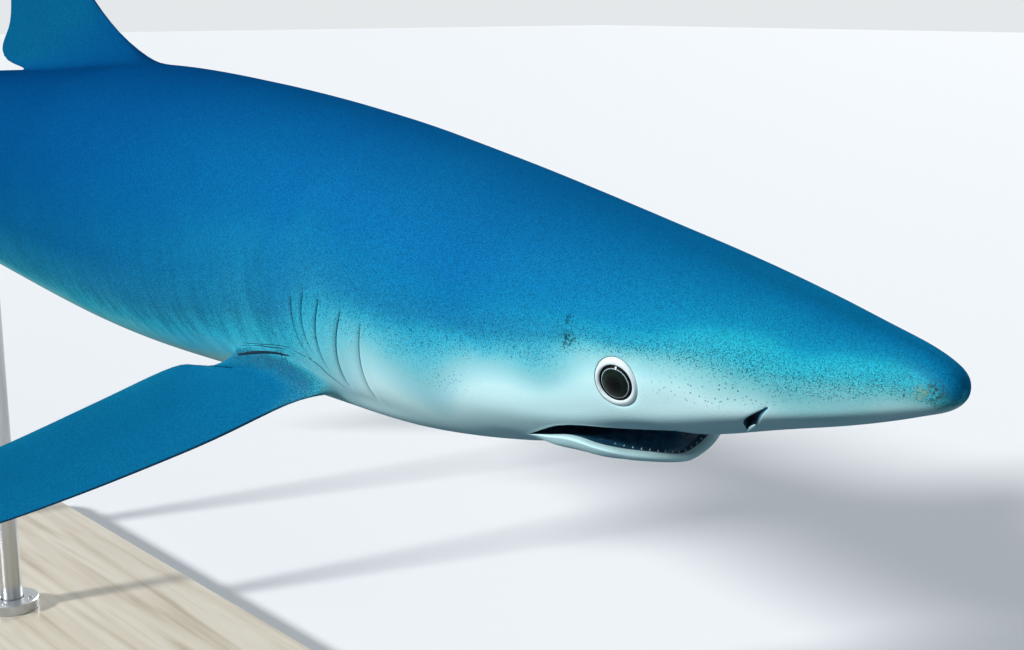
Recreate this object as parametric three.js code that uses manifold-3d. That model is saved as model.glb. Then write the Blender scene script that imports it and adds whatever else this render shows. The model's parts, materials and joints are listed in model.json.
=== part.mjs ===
// A blue shark, Prionace glauca, as a life-size display model in a gentle swimming pose.
// The body is parted where its parts are named, and two rods on a flat base carry it.
// Millimetres, +X towards the snout, +Y to the shark's left, +Z up. The origin is on the floor,
// under the middle of the base.

import * as THREE from 'three';
import { mergeVertices } from 'three/addons/utils/BufferGeometryUtils.js';
import Module from 'manifold-3d';

const wasm = await Module();
wasm.setup();

// ---------------------------------------------------------------- driving dimensions
const totalLength = 2200;
const percent = totalLength / 100; // body proportions below are in percent of total length
const snoutHeight = 520; // snout tip above the floor
const sideShift = 40; // snout tip to the left of the stand's middle line, because the back bows right
const gap = 0.3; // clearance between neighbouring pieces

const bow = { start: 12, length: 88, depth: 2.3 }; // the trunk's sideways curve, to the right
const tailSwing = { start: 50, reach: 6 }; // the tail's sideways curve, back to the left

const around = 26; // facets round the body
const roundness = 2.15; // 2 is an ellipse, more is squarer

// Girth of the body at each distance from the snout tip: full height, half width, and height of
// the section's middle above the snout tip. The curve through them runs in the square root of the
// distance, which rounds the snout's end.
const girths = [
  { at: 0, height: 0, halfWidth: 0, middle: 0 },
  { at: 0.25, height: 0.92, halfWidth: 0.64, middle: 0 },
  { at: 1, height: 1.58, halfWidth: 1.08, middle: 0.02 },
  { at: 3, height: 2.68, halfWidth: 1.97, middle: -0.08 },
  { at: 5, height: 3.65, halfWidth: 2.7, middle: -0.13 }, // nostrils
  { at: 8, height: 5.15, halfWidth: 3.5, middle: -0.25 }, // eyes
  { at: 12, height: 7.0, halfWidth: 4.08, middle: -0.38 }, // corners of the mouth
  { at: 18, height: 9.1, halfWidth: 4.65, middle: -0.25 }, // first gill slit
  { at: 23, height: 10.05, halfWidth: 4.92, middle: 0.15 }, // pectoral fins
  { at: 30, height: 10.95, halfWidth: 5.1, middle: 0.55 },
  { at: 37, height: 10.9, halfWidth: 5.08, middle: 1.0 }, // first dorsal fin
  { at: 45, height: 9.5, halfWidth: 4.6, middle: 1.25 },
  { at: 54, height: 8.0, halfWidth: 3.95, middle: 1.6 }, // pelvic fins
  { at: 63, height: 6.2, halfWidth: 3.1, middle: 2.1 }, // second dorsal and anal fins
  { at: 70, height: 4.6, halfWidth: 2.3, middle: 2.55 },
  { at: 76, height: 3.7, halfWidth: 1.8, middle: 3.1 }, // root of the tail fin
];
const lobeRows = 13; // sections along the tail's upper lobe
const lobeStart = 0.01; // just clear of the tail stem, as a share of the first length

// The tail fin's upper lobe, from its root at the end of the tail stem to its tip. Each station has
// a point on the upper edge and one on the lower edge, as distance from the snout and height.
const tailLobe = [
  { upper: [76, 4.95], lower: [76, 1.25], halfWidth: 1.8, blade: 0 },
  { upper: [78.4, 5.8], lower: [79.4, 1.3], halfWidth: 1.35, blade: 0.3 },
  { upper: [81.2, 7.4], lower: [83.2, 2.85], halfWidth: 0.95, blade: 0.8 },
  { upper: [85, 9.8], lower: [86.9, 6.0], halfWidth: 0.7, blade: 1 },
  { upper: [90, 12.6], lower: [91.6, 9.3], halfWidth: 0.5, blade: 1 },
  { upper: [93.4, 14.3], lower: [94.6, 11.5], halfWidth: 0.38, blade: 1 },
  { upper: [95, 15.0], lower: [95.9, 13.0], halfWidth: 0.33, blade: 1 }, // notch
  { upper: [96.8, 15.8], lower: [97.9, 13.3], halfWidth: 0.28, blade: 1 },
  { upper: [98.8, 16.5], lower: [99.6, 15.0], halfWidth: 0.2, blade: 1 },
  { upper: [99.7, 16.8], lower: [100, 16.4], halfWidth: 0.1, blade: 1 },
];

// Each fin lies in a plane of its own. Edge points are [distance back, distance out], from the root,
// which starts inside the body, to the tip. half is the half thickness at the root and at the tip.
const fins = {
  pectoral: {
    leading: [
      [-0.9, -1.5], [-0.2, 1], [-0.5, 4.8], [-0.7, 9.3], [-0.4, 13.6], [1.2, 18.4], [3.9, 21.5],
    ],
    trailing: [
      [3.2, 2.4], [4.7, 4.7], [6.4, 6.4], [5.9, 9.8], [5.2, 13.8], [4.9, 18.2], [4.7, 21.5],
    ],
    half: [0.62, 0.07],
  },
  dorsal_first: {
    leading: [[-2.0, -0.9], [2.1, 1.8], [4.8, 4.2], [7.2, 5.8], [9.3, 6.4]],
    trailing: [[8.6, -0.9], [12.3, 0.7], [11.1, 2.2], [10.8, 4.3], [10.7, 6.1]],
    half: [0.5, 0.07],
  },
  dorsal_second: {
    leading: [[-0.6, -0.5], [1.1, 0.9], [2.3, 1.85], [3.1, 2.2]],
    trailing: [[3.0, -0.5], [5.9, 0.45], [4.3, 1.05], [3.7, 2.1]],
    half: [0.24, 0.06],
  },
  anal: {
    leading: [[-0.6, -0.5], [1.5, 1.1], [3.0, 2.3], [4.0, 2.8]],
    trailing: [[3.2, -0.5], [5.7, 0.4], [4.2, 1.15], [4.5, 2.7]],
    half: [0.24, 0.06],
  },
  pelvic: {
    leading: [[-0.6, -0.8], [1.0, 1.5], [3.0, 3.5], [4.6, 4.3]],
    trailing: [[4.6, -0.4], [6.9, 1.2], [6.1, 2.9], [5.2, 4.3]],
    half: [0.32, 0.07],
  },
  tail_lower: {
    leading: [[0.1, -2.1], [2.0, 1.6], [5.0, 4.9], [8.4, 7.6]],
    trailing: [[7.0, -3.6], [6.6, -0.2], [7.4, 3.8], [9.0, 7.5]],
    half: [0.55, 0.08],
  },
};
const finRows = 10; // sections from root to tip
const finFacets = 12; // facets round each section
const finThickest = 0.3; // share of the section's length from its leading edge

// Where the fins stand: distance of the root from the snout, and for paired fins its distance from
// the midline, its height from the snout tip's level, and the way the fin points, in degrees.
const finPlaces = {
  pectoral: { at: 21.7, out: 3.25, height: -3.75, sweep: 47.5, droop: 21.3, twist: 5 },
  pelvic: { at: 49, out: 1.9, height: -2.3, sweep: 25, droop: 38, twist: 0 },
  dorsal_first: { at: 37.9 },
  dorsal_second: { at: 62.5 },
  anal: { at: 62.3 },
  tail_lower: { at: 76 },
};

const eye = { at: 8.1, angle: -10.5, radius: 17, opening: 9.2, facets: 12 };
const nostril = { from: [4.1, -26], to: [5.2, -60], width: 7, depth: 7, steps: 3 };

// Gill slits, first to fifth: distance from the snout of the upper end, the middle and the lower
// end, and the angles of both ends above the widest line.
const gillSlits = [
  { at: [17.9, 18.4, 18.6], top: -1, bottom: -43 },
  { at: [18.8, 19.5, 19.7], top: 1, bottom: -39 },
  { at: [19.9, 20.4, 20.25], top: 2, bottom: -34 },
  { at: [20.7, 21.0, 20.75], top: 2, bottom: -25 },
  { at: [21.35, 21.3, 20.1], top: 0, bottom: -40 },
];
const slit = { width: 1.6, depth: 7, steps: 4 };

// The upper lip and the lower jaw seen from below, from the front to the corner of the mouth, as
// distance from the snout and distance from the midline.
const lipArch = [[7.8, 0], [8.05, 1.4], [8.8, 2.4], [10, 2.86], [11.45, 2.76], [12.85, 2.37]];
const jawArch = [[8.15, 0], [8.5, 1], [9.3, 1.8], [10.4, 2.4], [11.6, 2.6], [12.85, 2.3]];
const palateHeight = -1.5; // roof of the mouth, from the snout tip's level
const jawPivot = { at: 12.9, height: -3.3 };
const jawDrop = 10; // degrees the jaw hangs open
const jawTop = -2.5; // top of the closed lower jaw
const tooth = { height: 7, radius: 1.8, perSide: 6, inset: 0.9, buried: 2 };

const stand = {
  length: 960,
  width: 380,
  thickness: 28,
  corner: 60,
  edge: 3,
  rodRadius: 12,
  rodsAt: { front: 54, rear: 69.3 },
  collarRadius: 30,
  collarHeight: 12,
};

// ---------------------------------------------------------------- materials
const paint = (color, roughness, metalness = 0) =>
  new THREE.MeshStandardMaterial({ color, roughness, metalness });
const backSkin = paint(0x14649c, 0.45);
const finSkin = paint(0x10588c, 0.5);
const jawSkin = paint(0xcfe6e6, 0.5);
const eyeGloss = paint(0x0b1116, 0.08);
const baseLacquer = paint(0xdcd8cf, 0.4);
const rodSteel = paint(0xb9bcbf, 0.3, 1);

const shark = new THREE.Group();

// ---------------------------------------------------------------- solids
function toSolid(geometry) {
  const bare = geometry.clone();
  bare.deleteAttribute('normal');
  bare.deleteAttribute('uv');
  const merged = mergeVertices(bare, 1e-4);
  const mesh = new wasm.Mesh({
    numProp: 3,
    vertProperties: new Float32Array(merged.attributes.position.array),
    triVerts: new Uint32Array(merged.index.array),
  });
  return new wasm.Manifold(mesh);
}

function toGeometry(solid) {
  const mesh = solid.getMesh();
  const geometry = new THREE.BufferGeometry();
  geometry.setAttribute('position', new THREE.BufferAttribute(mesh.vertProperties, 3));
  geometry.setIndex(new THREE.BufferAttribute(mesh.triVerts, 1));
  geometry.computeVertexNormals();
  return geometry;
}

function addNode(name, solid, material) {
  const mesh = new THREE.Mesh(toGeometry(solid), material);
  mesh.name = name;
  shark.add(mesh);
  return solid;
}

// Joins closed loops of equal count into one solid, and caps both ends with a fan.
function skinLoops(loops) {
  const count = loops[0].length;
  const corners = loops.flat();
  const triangles = [];
  for (let row = 0; row + 1 < loops.length; row += 1) {
    for (let i = 0; i < count; i += 1) {
      const a = row * count + i;
      const b = row * count + ((i + 1) % count);
      triangles.push([a, b + count, b], [a, a + count, b + count]);
    }
  }
  for (const row of [0, loops.length - 1]) {
    const centre = new THREE.Vector3();
    loops[row].forEach((point) => centre.addScaledVector(point, 1 / count));
    const middle = corners.push(centre) - 1;
    for (let i = 0; i < count; i += 1) {
      const a = row * count + i;
      const b = row * count + ((i + 1) % count);
      triangles.push(row === 0 ? [middle, a, b] : [middle, b, a]);
    }
  }
  // loops that run the other way round would give an inside-out solid
  const volume = triangles.reduce((sum, [a, b, c]) =>
    sum + corners[a].dot(new THREE.Vector3().crossVectors(corners[b], corners[c])), 0);
  const outward = volume > 0 ? triangles : triangles.map(([a, b, c]) => [a, c, b]);
  const geometry = new THREE.BufferGeometry().setFromPoints(corners);
  geometry.setIndex(outward.flat());
  return toSolid(geometry);
}

// ---------------------------------------------------------------- the body's curve and girth
const girthCurve = new THREE.CubicInterpolant(
  Float32Array.from(girths, (g) => Math.sqrt(g.at)),
  Float32Array.from(girths.flatMap((g) => [g.height, g.halfWidth, g.middle])),
  3,
);

function girthAt(at) {
  const [height, halfWidth, middle] = girthCurve.evaluate(Math.sqrt(Math.max(0, at)));
  return { height, halfWidth, middle };
}

function sideways(at) {
  const bowed = Math.max(0, at - bow.start) / bow.length;
  const swung = Math.max(0, at - tailSwing.start) / (100 - tailSwing.start);
  return (-bow.depth * (1 - Math.cos(2 * Math.PI * bowed))) / 2 + tailSwing.reach * swung ** 3;
}

// A point of the body: distance from the snout along the spine, distance to the left of it, and
// height above the snout tip's level, all in percent. The spine only bends sideways.
function place(at, left, height) {
  const slope = (sideways(at + 0.1) - sideways(at - 0.1)) / 0.2;
  const lean = Math.hypot(1, slope);
  const x = 50 - at + (left * slope) / lean;
  const y = sideways(at) + left / lean;
  return new THREE.Vector3(x * percent, y * percent + sideShift, height * percent + snoutHeight);
}

const softPower = (value) => Math.sign(value) * Math.abs(value) ** (2 / roundness);

// A point of the skin at an angle above the widest line: 0 is the left flank, 90 the back, 180 the
// right flank. grow moves it outwards, in millimetres.
function skinPoint(at, degrees, grow = 0) {
  const angle = THREE.MathUtils.degToRad(degrees);
  const { height, halfWidth, middle } = girthAt(at);
  const left = softPower(Math.cos(angle)) * halfWidth + (Math.cos(angle) * grow) / percent;
  const up = (softPower(Math.sin(angle)) * height) / 2 + (Math.sin(angle) * grow) / percent;
  return place(at, left, middle + up);
}

function bodyLoop(at, grow = 0) {
  return Array.from({ length: around }, (_, i) => skinPoint(at, (360 * i) / around, grow));
}

function bodyLength(from, to, rows, grow = 0) {
  const first = from <= 0 ? 0.02 : from + gap / 2 / percent;
  const last = to - gap / 2 / percent;
  // near the snout tip the loops crowd together, so that its rounded end stays round
  const ease = from <= 0 ? 1.7 : 1;
  return skinLoops(Array.from({ length: rows }, (_, i) => {
    const share = (i / (rows - 1)) ** ease;
    return bodyLoop(THREE.MathUtils.lerp(first, last, share), grow);
  }));
}

// ---------------------------------------------------------------- fins
const curveThrough = (points) =>
  new THREE.SplineCurve(points.map(([along, out]) => new THREE.Vector2(along, out)));

// A fin section runs from its leading edge to its trailing edge. It is blunt in front, thickest near
// the front third, and thin behind.
function finSection(chord, side) {
  const rise = Math.min(1, Math.sqrt(chord / finThickest));
  const fall = Math.min(1, (1.06 - chord) / (1 - finThickest));
  return Math.sign(side) * Math.abs(side) ** 0.4 * rise * fall;
}

function finSolid(fin, toSpace) {
  const leading = curveThrough(fin.leading);
  const trailing = curveThrough(fin.trailing);
  const loops = [];
  for (let row = 0; row < finRows; row += 1) {
    const t = row / (finRows - 1);
    const front = leading.getPoint(t);
    const back = trailing.getPoint(t);
    const half = THREE.MathUtils.lerp(fin.half[0], fin.half[1], t ** 0.7);
    loops.push(Array.from({ length: finFacets }, (_, i) => {
      const angle = (2 * Math.PI * i) / finFacets;
      const chord = (1 - Math.cos(angle)) / 2;
      const point = front.clone().lerp(back, chord);
      return toSpace(point.x, point.y, finSection(chord, Math.sin(angle)) * half);
    }));
  }
  return skinLoops(loops);
}

// A fin on the midline follows the outline of the back, or of the belly when up is -1.
function midlineFin(fin, at, up) {
  return finSolid(fin, (along, out, across) => {
    const { height, middle } = girthAt(at + along);
    return place(at + along, across, middle + up * (height / 2 + out));
  });
}

// A paired fin: its span is swept back and droops, and its chord is twisted about the span.
function pairedFin(fin, where, side) {
  const sweep = THREE.MathUtils.degToRad(where.sweep);
  const droop = THREE.MathUtils.degToRad(where.droop);
  const span = new THREE.Vector3(
    Math.sin(sweep) * Math.cos(droop),
    Math.cos(sweep) * Math.cos(droop),
    -Math.sin(droop),
  );
  const chord = new THREE.Vector3(1, 0, 0).addScaledVector(span, -span.x).normalize();
  chord.applyAxisAngle(span, THREE.MathUtils.degToRad(where.twist));
  const flat = new THREE.Vector3().crossVectors(span, chord);
  return finSolid(fin, (along, out, across) => {
    const offset = chord.clone().multiplyScalar(along);
    offset.addScaledVector(span, out).addScaledVector(flat, across);
    return place(where.at + offset.x, (where.out + offset.y) * side, where.height + offset.z);
  });
}

// ---------------------------------------------------------------- tail fin
const lobeCurve = new THREE.CubicInterpolant(
  Float32Array.from(tailLobe, (_, i) => i),
  Float32Array.from(tailLobe.flatMap((l) => [...l.upper, ...l.lower, l.halfWidth, l.blade])),
  6,
);

// A section of the tail's upper lobe: round like the tail stem at its root, then a blade whose
// lower edge is thin.
function lobeLoop(step) {
  const [upperAt, upperHeight, lowerAt, lowerHeight, halfWidth, blade] = lobeCurve.evaluate(step);
  return Array.from({ length: around }, (_, i) => {
    const angle = (2 * Math.PI * i) / around;
    const chord = (1 - softPower(Math.sin(angle))) / 2;
    const thin = 1 - blade * 0.85 * THREE.MathUtils.smoothstep(chord, 0.2, 1);
    const left = softPower(Math.cos(angle)) * halfWidth * thin;
    const { lerp } = THREE.MathUtils;
    return place(lerp(upperAt, lowerAt, chord), left, lerp(upperHeight, lowerHeight, chord));
  });
}

// ---------------------------------------------------------------- slits, mouth and eyes
// A narrow slot cut into the skin, along a path given as distance from the snout and angle.
function skinSlot(path, { width, depth, steps }) {
  const proud = 4;
  const half = width / 2 / percent;
  const loops = [];
  for (let step = 0; step <= steps; step += 1) {
    const [at, degrees] = path(step / steps);
    loops.push([
      skinPoint(at - half, degrees, proud),
      skinPoint(at + half, degrees, proud),
      skinPoint(at + half, degrees, -depth),
      skinPoint(at - half, degrees, -depth),
    ]);
  }
  return skinLoops(loops);
}

// The same path on the shark's left, with side 1, or on its right, with side -1.
const sideAngle = (degrees, side) => (side > 0 ? degrees : 180 - degrees);

function gillSlot(shape, side) {
  const [upper, middle, lower] = shape.at;
  const path = (t) => [
    upper * (1 - t) * (1 - 2 * t) + middle * 4 * t * (1 - t) + lower * t * (2 * t - 1),
    sideAngle(THREE.MathUtils.lerp(shape.top, shape.bottom, t), side),
  ];
  return skinSlot(path, slit);
}

function nostrilSlot(side) {
  const path = (t) => [
    THREE.MathUtils.lerp(nostril.from[0], nostril.to[0], t),
    sideAngle(THREE.MathUtils.lerp(nostril.from[1], nostril.to[1], t), side),
  ];
  return skinSlot(path, nostril);
}

// An upright block whose outline is a mouth arch, from below the throat up to its roof.
function archBlock(arch, roof) {
  const left = arch.map(([at, out]) => new THREE.Vector2(-at, out));
  const right = arch.slice(1).reverse().map(([at, out]) => new THREE.Vector2(-at, -out));
  const outline = new THREE.SplineCurve([...right, ...left]).getPoints(24);
  const floor = -8;
  const block = new THREE.ExtrudeGeometry(new THREE.Shape(outline), {
    depth: roof - floor,
    bevelEnabled: false,
  });
  block.translate(50, 0, floor);
  block.scale(percent, percent, percent);
  block.translate(0, sideShift, snoutHeight);
  return toSolid(block);
}

// Small pointed teeth along the front of the closed lower jaw, set into its top.
function toothRow() {
  const curve = new THREE.SplineCurve(jawArch.map(([at, out]) => new THREE.Vector2(at, out)));
  const point = new THREE.ConeGeometry(tooth.radius, tooth.height, 4).rotateX(Math.PI / 2);
  const lift = tooth.height / 2 - tooth.buried;
  const teeth = [];
  for (let i = 0; i < tooth.perSide; i += 1) {
    const spot = curve.getPoint((i + 0.5) / (2 * tooth.perSide));
    for (const side of [1, -1]) {
      const root = place(spot.x + 0.3, spot.y * tooth.inset * side, jawTop);
      teeth.push(toSolid(point.clone().translate(root.x, root.y, root.z + lift)));
    }
  }
  return wasm.Manifold.union(teeth);
}

function eyeCentre(side, depth) {
  const angle = sideAngle(eye.angle, side);
  const outer = skinPoint(eye.at, angle);
  const forward = skinPoint(eye.at - 0.3, angle).sub(skinPoint(eye.at + 0.3, angle));
  const upward = skinPoint(eye.at, angle + 3).sub(skinPoint(eye.at, angle - 3));
  const outward = upward.cross(forward).normalize();
  return outer.addScaledVector(outward, -depth);
}

function ball(centre, radius) {
  const sphere = new THREE.SphereGeometry(radius, eye.facets, eye.facets - 4);
  return toSolid(sphere.translate(centre.x, centre.y, centre.z));
}

// ---------------------------------------------------------------- body
const sides = { left: 1, right: -1 };
const envelope = bodyLength(0, 76, 60, gap);
const eyeDepth = Math.sqrt(eye.radius ** 2 - eye.opening ** 2);

let snout = bodyLength(0, 6.9, 12);
let head = bodyLength(6.9, 17.3, 14);
let gills = bodyLength(17.3, 22.6, 7);
const closedJaw = head.intersect(archBlock(jawArch, jawTop)).add(toothRow());
head = head.subtract(archBlock(lipArch, palateHeight));
for (const [word, side] of Object.entries(sides)) {
  const centre = eyeCentre(side, eyeDepth);
  addNode(`eye_${word}`, ball(centre, eye.radius), eyeGloss);
  head = head.subtract(ball(centre, eye.radius + gap));
  snout = snout.subtract(nostrilSlot(side));
  gillSlits.forEach((shape) => {
    gills = gills.subtract(gillSlot(shape, side));
  });
}

// the jaw drops about a line through the corners of the mouth, and stays clear of the throat
const pivot = place(jawPivot.at, 0, jawPivot.height);
const lowerJaw = closedJaw
  .translate([-pivot.x, -pivot.y, -pivot.z])
  .rotate([0, jawDrop, 0])
  .translate([pivot.x, pivot.y, pivot.z])
  .subtract(bodyLength(jawPivot.at - 0.1, 17.3, 4, gap));

addNode('snout', snout, backSkin);
addNode('head', head, backSkin);
addNode('lower_jaw', lowerJaw, jawSkin);
addNode('gills', gills, backSkin);
addNode('trunk_front', bodyLength(22.6, 36.5, 10), backSkin);
addNode('trunk_middle', bodyLength(36.5, 49, 9), backSkin);
addNode('trunk_rear', bodyLength(49, 62, 9), backSkin);
addNode('tail_stem', bodyLength(62, 76, 10), backSkin);

// ---------------------------------------------------------------- fins and tail
for (const name of ['pectoral', 'pelvic']) {
  for (const [word, side] of Object.entries(sides)) {
    const fin = pairedFin(fins[name], finPlaces[name], side);
    addNode(`${name}_${word}`, fin.subtract(envelope), finSkin);
  }
}
for (const [name, up] of [['dorsal_first', 1], ['dorsal_second', 1], ['anal', -1]]) {
  const fin = midlineFin(fins[name], finPlaces[name].at, up);
  addNode(`${name}_fin`, fin.subtract(envelope), finSkin);
}

const lobeSteps = tailLobe.length - 1;
const upperLobe = skinLoops(Array.from({ length: lobeRows }, (_, i) =>
  lobeLoop(THREE.MathUtils.lerp(lobeStart, lobeSteps, i / (lobeRows - 1)))));
addNode('tail_upper', upperLobe, finSkin);
const lowerLobe = finSolid(fins.tail_lower, (along, out, across) =>
  place(finPlaces.tail_lower.at + along, across, -out));
addNode('tail_lower', lowerLobe.subtract(upperLobe).subtract(envelope), finSkin);

// ---------------------------------------------------------------- stand
function baseBoard() {
  const { length, width, thickness, corner, edge } = stand;
  const x = length / 2 - edge;
  const y = width / 2 - edge;
  const outline = new THREE.Shape();
  outline.moveTo(-x + corner, -y);
  outline.absarc(x - corner, -y + corner, corner, -Math.PI / 2, 0);
  outline.absarc(x - corner, y - corner, corner, 0, Math.PI / 2);
  outline.absarc(-x + corner, y - corner, corner, Math.PI / 2, Math.PI);
  outline.absarc(-x + corner, -y + corner, corner, Math.PI, 1.5 * Math.PI);
  const board = new THREE.ExtrudeGeometry(outline, {
    depth: thickness - 2 * edge,
    bevelThickness: edge,
    bevelSize: edge,
    bevelSegments: 2,
    curveSegments: 4,
  });
  return toSolid(board.translate(0, 0, edge));
}

// A rod reaches up to the snout tip's level, inside the trunk, which then cuts it off.
function rod(foot) {
  const bar = new THREE.CylinderGeometry(stand.rodRadius, stand.rodRadius, snoutHeight - foot.z, 16);
  return toSolid(bar.rotateX(Math.PI / 2).translate(foot.x, foot.y, (foot.z + snoutHeight) / 2));
}

function collar(foot) {
  const inner = stand.rodRadius + gap;
  const profile = [
    [inner, 0],
    [stand.collarRadius, 0],
    [stand.collarRadius, stand.collarHeight - stand.edge],
    [stand.collarRadius - stand.edge, stand.collarHeight],
    [inner, stand.collarHeight],
    [inner, 0],
  ].map(([radius, height]) => new THREE.Vector2(radius, height));
  const ring = new THREE.LatheGeometry(profile, 16);
  return toSolid(ring.rotateX(Math.PI / 2).translate(foot.x, foot.y, foot.z));
}

addNode('stand_base', baseBoard(), baseLacquer);
for (const [word, at] of Object.entries(stand.rodsAt)) {
  const foot = place(at, 0, 0).setZ(stand.thickness + gap);
  addNode(`stand_rod_${word}`, rod(foot).subtract(envelope), rodSteel);
  addNode(`stand_collar_${word}`, collar(foot), rodSteel);
}

export default shark;
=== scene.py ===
# A blue shark, Prionace glauca, as a life-size display model on a plain stand. Metres, in the
# frame of the CAD part: +X towards the snout, +Y to the shark's left, +Z up.
import json
import math
from functools import partial

import bmesh
import bpy
import numpy as np
from mathutils import Matrix, Vector
from mathutils.bvhtree import BVHTree

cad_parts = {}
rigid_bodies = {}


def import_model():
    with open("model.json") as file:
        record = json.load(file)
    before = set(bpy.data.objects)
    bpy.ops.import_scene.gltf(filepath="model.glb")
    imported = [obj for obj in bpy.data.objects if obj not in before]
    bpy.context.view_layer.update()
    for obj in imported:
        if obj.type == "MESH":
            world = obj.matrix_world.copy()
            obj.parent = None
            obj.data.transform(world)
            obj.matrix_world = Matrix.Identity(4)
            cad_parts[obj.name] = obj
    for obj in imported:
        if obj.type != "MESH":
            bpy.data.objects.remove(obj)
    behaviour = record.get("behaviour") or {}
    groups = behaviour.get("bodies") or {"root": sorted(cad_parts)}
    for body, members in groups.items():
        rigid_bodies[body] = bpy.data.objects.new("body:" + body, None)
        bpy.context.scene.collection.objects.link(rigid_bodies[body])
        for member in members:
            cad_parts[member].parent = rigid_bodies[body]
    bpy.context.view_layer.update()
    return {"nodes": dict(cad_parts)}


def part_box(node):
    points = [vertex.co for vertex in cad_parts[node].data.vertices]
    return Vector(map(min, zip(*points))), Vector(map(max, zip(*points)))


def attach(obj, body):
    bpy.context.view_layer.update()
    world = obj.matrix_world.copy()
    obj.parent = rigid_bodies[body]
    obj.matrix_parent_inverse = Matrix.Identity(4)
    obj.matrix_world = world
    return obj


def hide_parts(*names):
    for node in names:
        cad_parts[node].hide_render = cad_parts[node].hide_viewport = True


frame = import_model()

millimetre = 0.001
print("frame loaded:", len(frame["nodes"]), "CAD nodes")


# Small helpers
def lerp(a, b, t):
    return a + (b - a) * t


def smoothStep(value, start, end):
    t = np.clip((value - start) / (end - start), 0, 1)
    return t * t * (3 - 2 * t)


def unit(vector):
    return vector / np.linalg.norm(vector, axis=-1, keepdims=True)


def lengthAlong(points):
    return np.concatenate([[0], np.cumsum(np.linalg.norm(np.diff(points, axis=0), axis=1))])


# A curve through points that leaves each one along the mean of its two neighbouring chords.
def curveThrough(knots, values):
    knots, values = np.array(knots, float), np.array(values, float)
    chords = np.diff(values, axis=0) / np.diff(knots)[:, None]
    slopes = np.vstack([chords[:1], (chords[1:] + chords[:-1]) / 2, chords[-1:]])

    def pointAt(at):
        at = np.clip(np.asarray(at, float), knots[0], knots[-1])
        i = np.clip(np.searchsorted(knots, at, side="right") - 1, 0, len(knots) - 2)
        width = (knots[i + 1] - knots[i])[..., None]
        t = (at - knots[i])[..., None] / width
        before = (2 * t**3 - 3 * t**2 + 1) * values[i] + (t**3 - 2 * t**2 + t) * width * slopes[i]
        return before + (3 * t**2 - 2 * t**3) * values[i + 1] + (t**3 - t**2) * width * slopes[i + 1]

    return pointAt


# The same curve with its points evenly numbered, read from 0 at its start to 1 at its end.
def evenCurve(points):
    curve = curveThrough(range(len(points)), points)
    return lambda t: curve(np.asarray(t, float) * (len(points) - 1))


# Heights of soft round patches: a row gives distance, angle, reach along, reach round and height.
def softPatches(rows, at, angle):
    return [
        rise * np.exp(-(((at - midAt) / reachAt) ** 2) - ((angle - midAngle) / reachAngle) ** 2)
        for midAt, midAngle, reachAt, reachAngle, rise in rows
    ]


# The body's curve and girth
# Distances are in percent of total length: from the snout tip along the spine, to the left of it,
# and above the snout tip's level.
percent = round((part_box("snout")[1].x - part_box("tail_upper")[0].x) / 100, 4)  # metres
perMillimetre = millimetre / percent

body = {
    "snoutHeight": 0.52,  # metres above the floor
    "sideShift": 0.04,  # metres, snout tip to the left of the stand's middle line
    "bow": (12, 88, 2.3),  # start, length and depth of the trunk's curve to the right
    "tailSwing": (50, 6),  # start and reach of the tail's curve to the left
    "roundness": 2.15,  # 2 is an ellipse, more is squarer
    "girths": [  # distance from the snout, full height, half width, height of the middle
        (0, 0, 0, 0), (0.25, 0.92, 0.64, 0), (1, 1.58, 1.08, 0.02), (3, 2.68, 1.97, -0.08),
        (5, 3.65, 2.7, -0.13), (8, 5.15, 3.5, -0.25), (12, 7.0, 4.08, -0.38),
        (18, 9.1, 4.65, -0.25), (23, 10.05, 4.92, 0.15), (30, 10.95, 5.1, 0.55),
        (37, 10.9, 5.08, 1.0), (45, 9.5, 4.6, 1.25), (54, 8.0, 3.95, 1.6), (63, 6.2, 3.1, 2.1),
        (70, 4.6, 2.3, 2.55), (76, 3.7, 1.8, 3.1),
    ],
    # soft rises and hollows: distance, angle, reach along, reach round in degrees, height in mm
    "relief": [
        (8.3, 10, 1.5, 8, 1.0),  # brow
        (6.9, -26, 1.1, 9, -0.9),  # hollow before the eye
        (8.3, -72, 1.0, 26, -5.5),  # the underside rises to the upper lip
        (9.6, -28, 1.9, 5, -0.6),  # furrow over the lip
        (12.5, -28, 2.4, 10, 0.9),  # jaw muscle
        (9.5, -33, 5.0, 11, 2.0),  # the cheek turns under along a soft ridge
        (4.3, -32, 2.4, 11, 1.4),  # and so does the snout
        (13.6, -58, 1.0, 8, -1.0),  # behind the corner of the mouth
        (19.2, -46, 1.6, 6, -1.6),  # below the gill slits
        (28.5, -55, 4.5, 30, -5.0),  # the belly draws in behind the fins
        (75.4, 90, 0.5, 16, -6.0),  # pit before the tail, above
        (75.9, -90, 0.4, 16, -3.5),  # and below
        (75, 0, 5, 9, 2.0),  # weak keel
    ],
    "tailRoot": 76,
    "lobeRate": 9 / 24,  # the tail's nine lengths cover the last 24 percent
    "tailLobe": [  # upper edge, lower edge, half width, and how far it is a thin blade
        (76, 4.95, 76, 1.25, 1.8, 0), (78.4, 5.8, 79.4, 1.3, 1.35, 0.3),
        (81.2, 7.4, 83.2, 2.85, 0.95, 0.8), (85, 9.8, 86.9, 6.0, 0.7, 1),
        (90, 12.6, 91.6, 9.3, 0.5, 1), (93.4, 14.3, 94.6, 11.5, 0.38, 1),
        (95, 15.0, 95.9, 13.0, 0.33, 1),  # notch
        (96.8, 15.8, 97.9, 13.3, 0.28, 1), (98.8, 16.5, 99.6, 15.0, 0.2, 1),
        (99.7, 16.8, 100, 16.4, 0.1, 1),
    ],
    "bladeThin": 0.85,  # how much thinner the lobe's lower edge is than its upper one
    "bladeFrom": 0.2,  # share of its height where that starts
    "lobeRelief": 0.3,  # how much of a rise the lobe takes
}
girthCurve = curveThrough([math.sqrt(g[0]) for g in body["girths"]], [g[1:] for g in body["girths"]])
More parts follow.
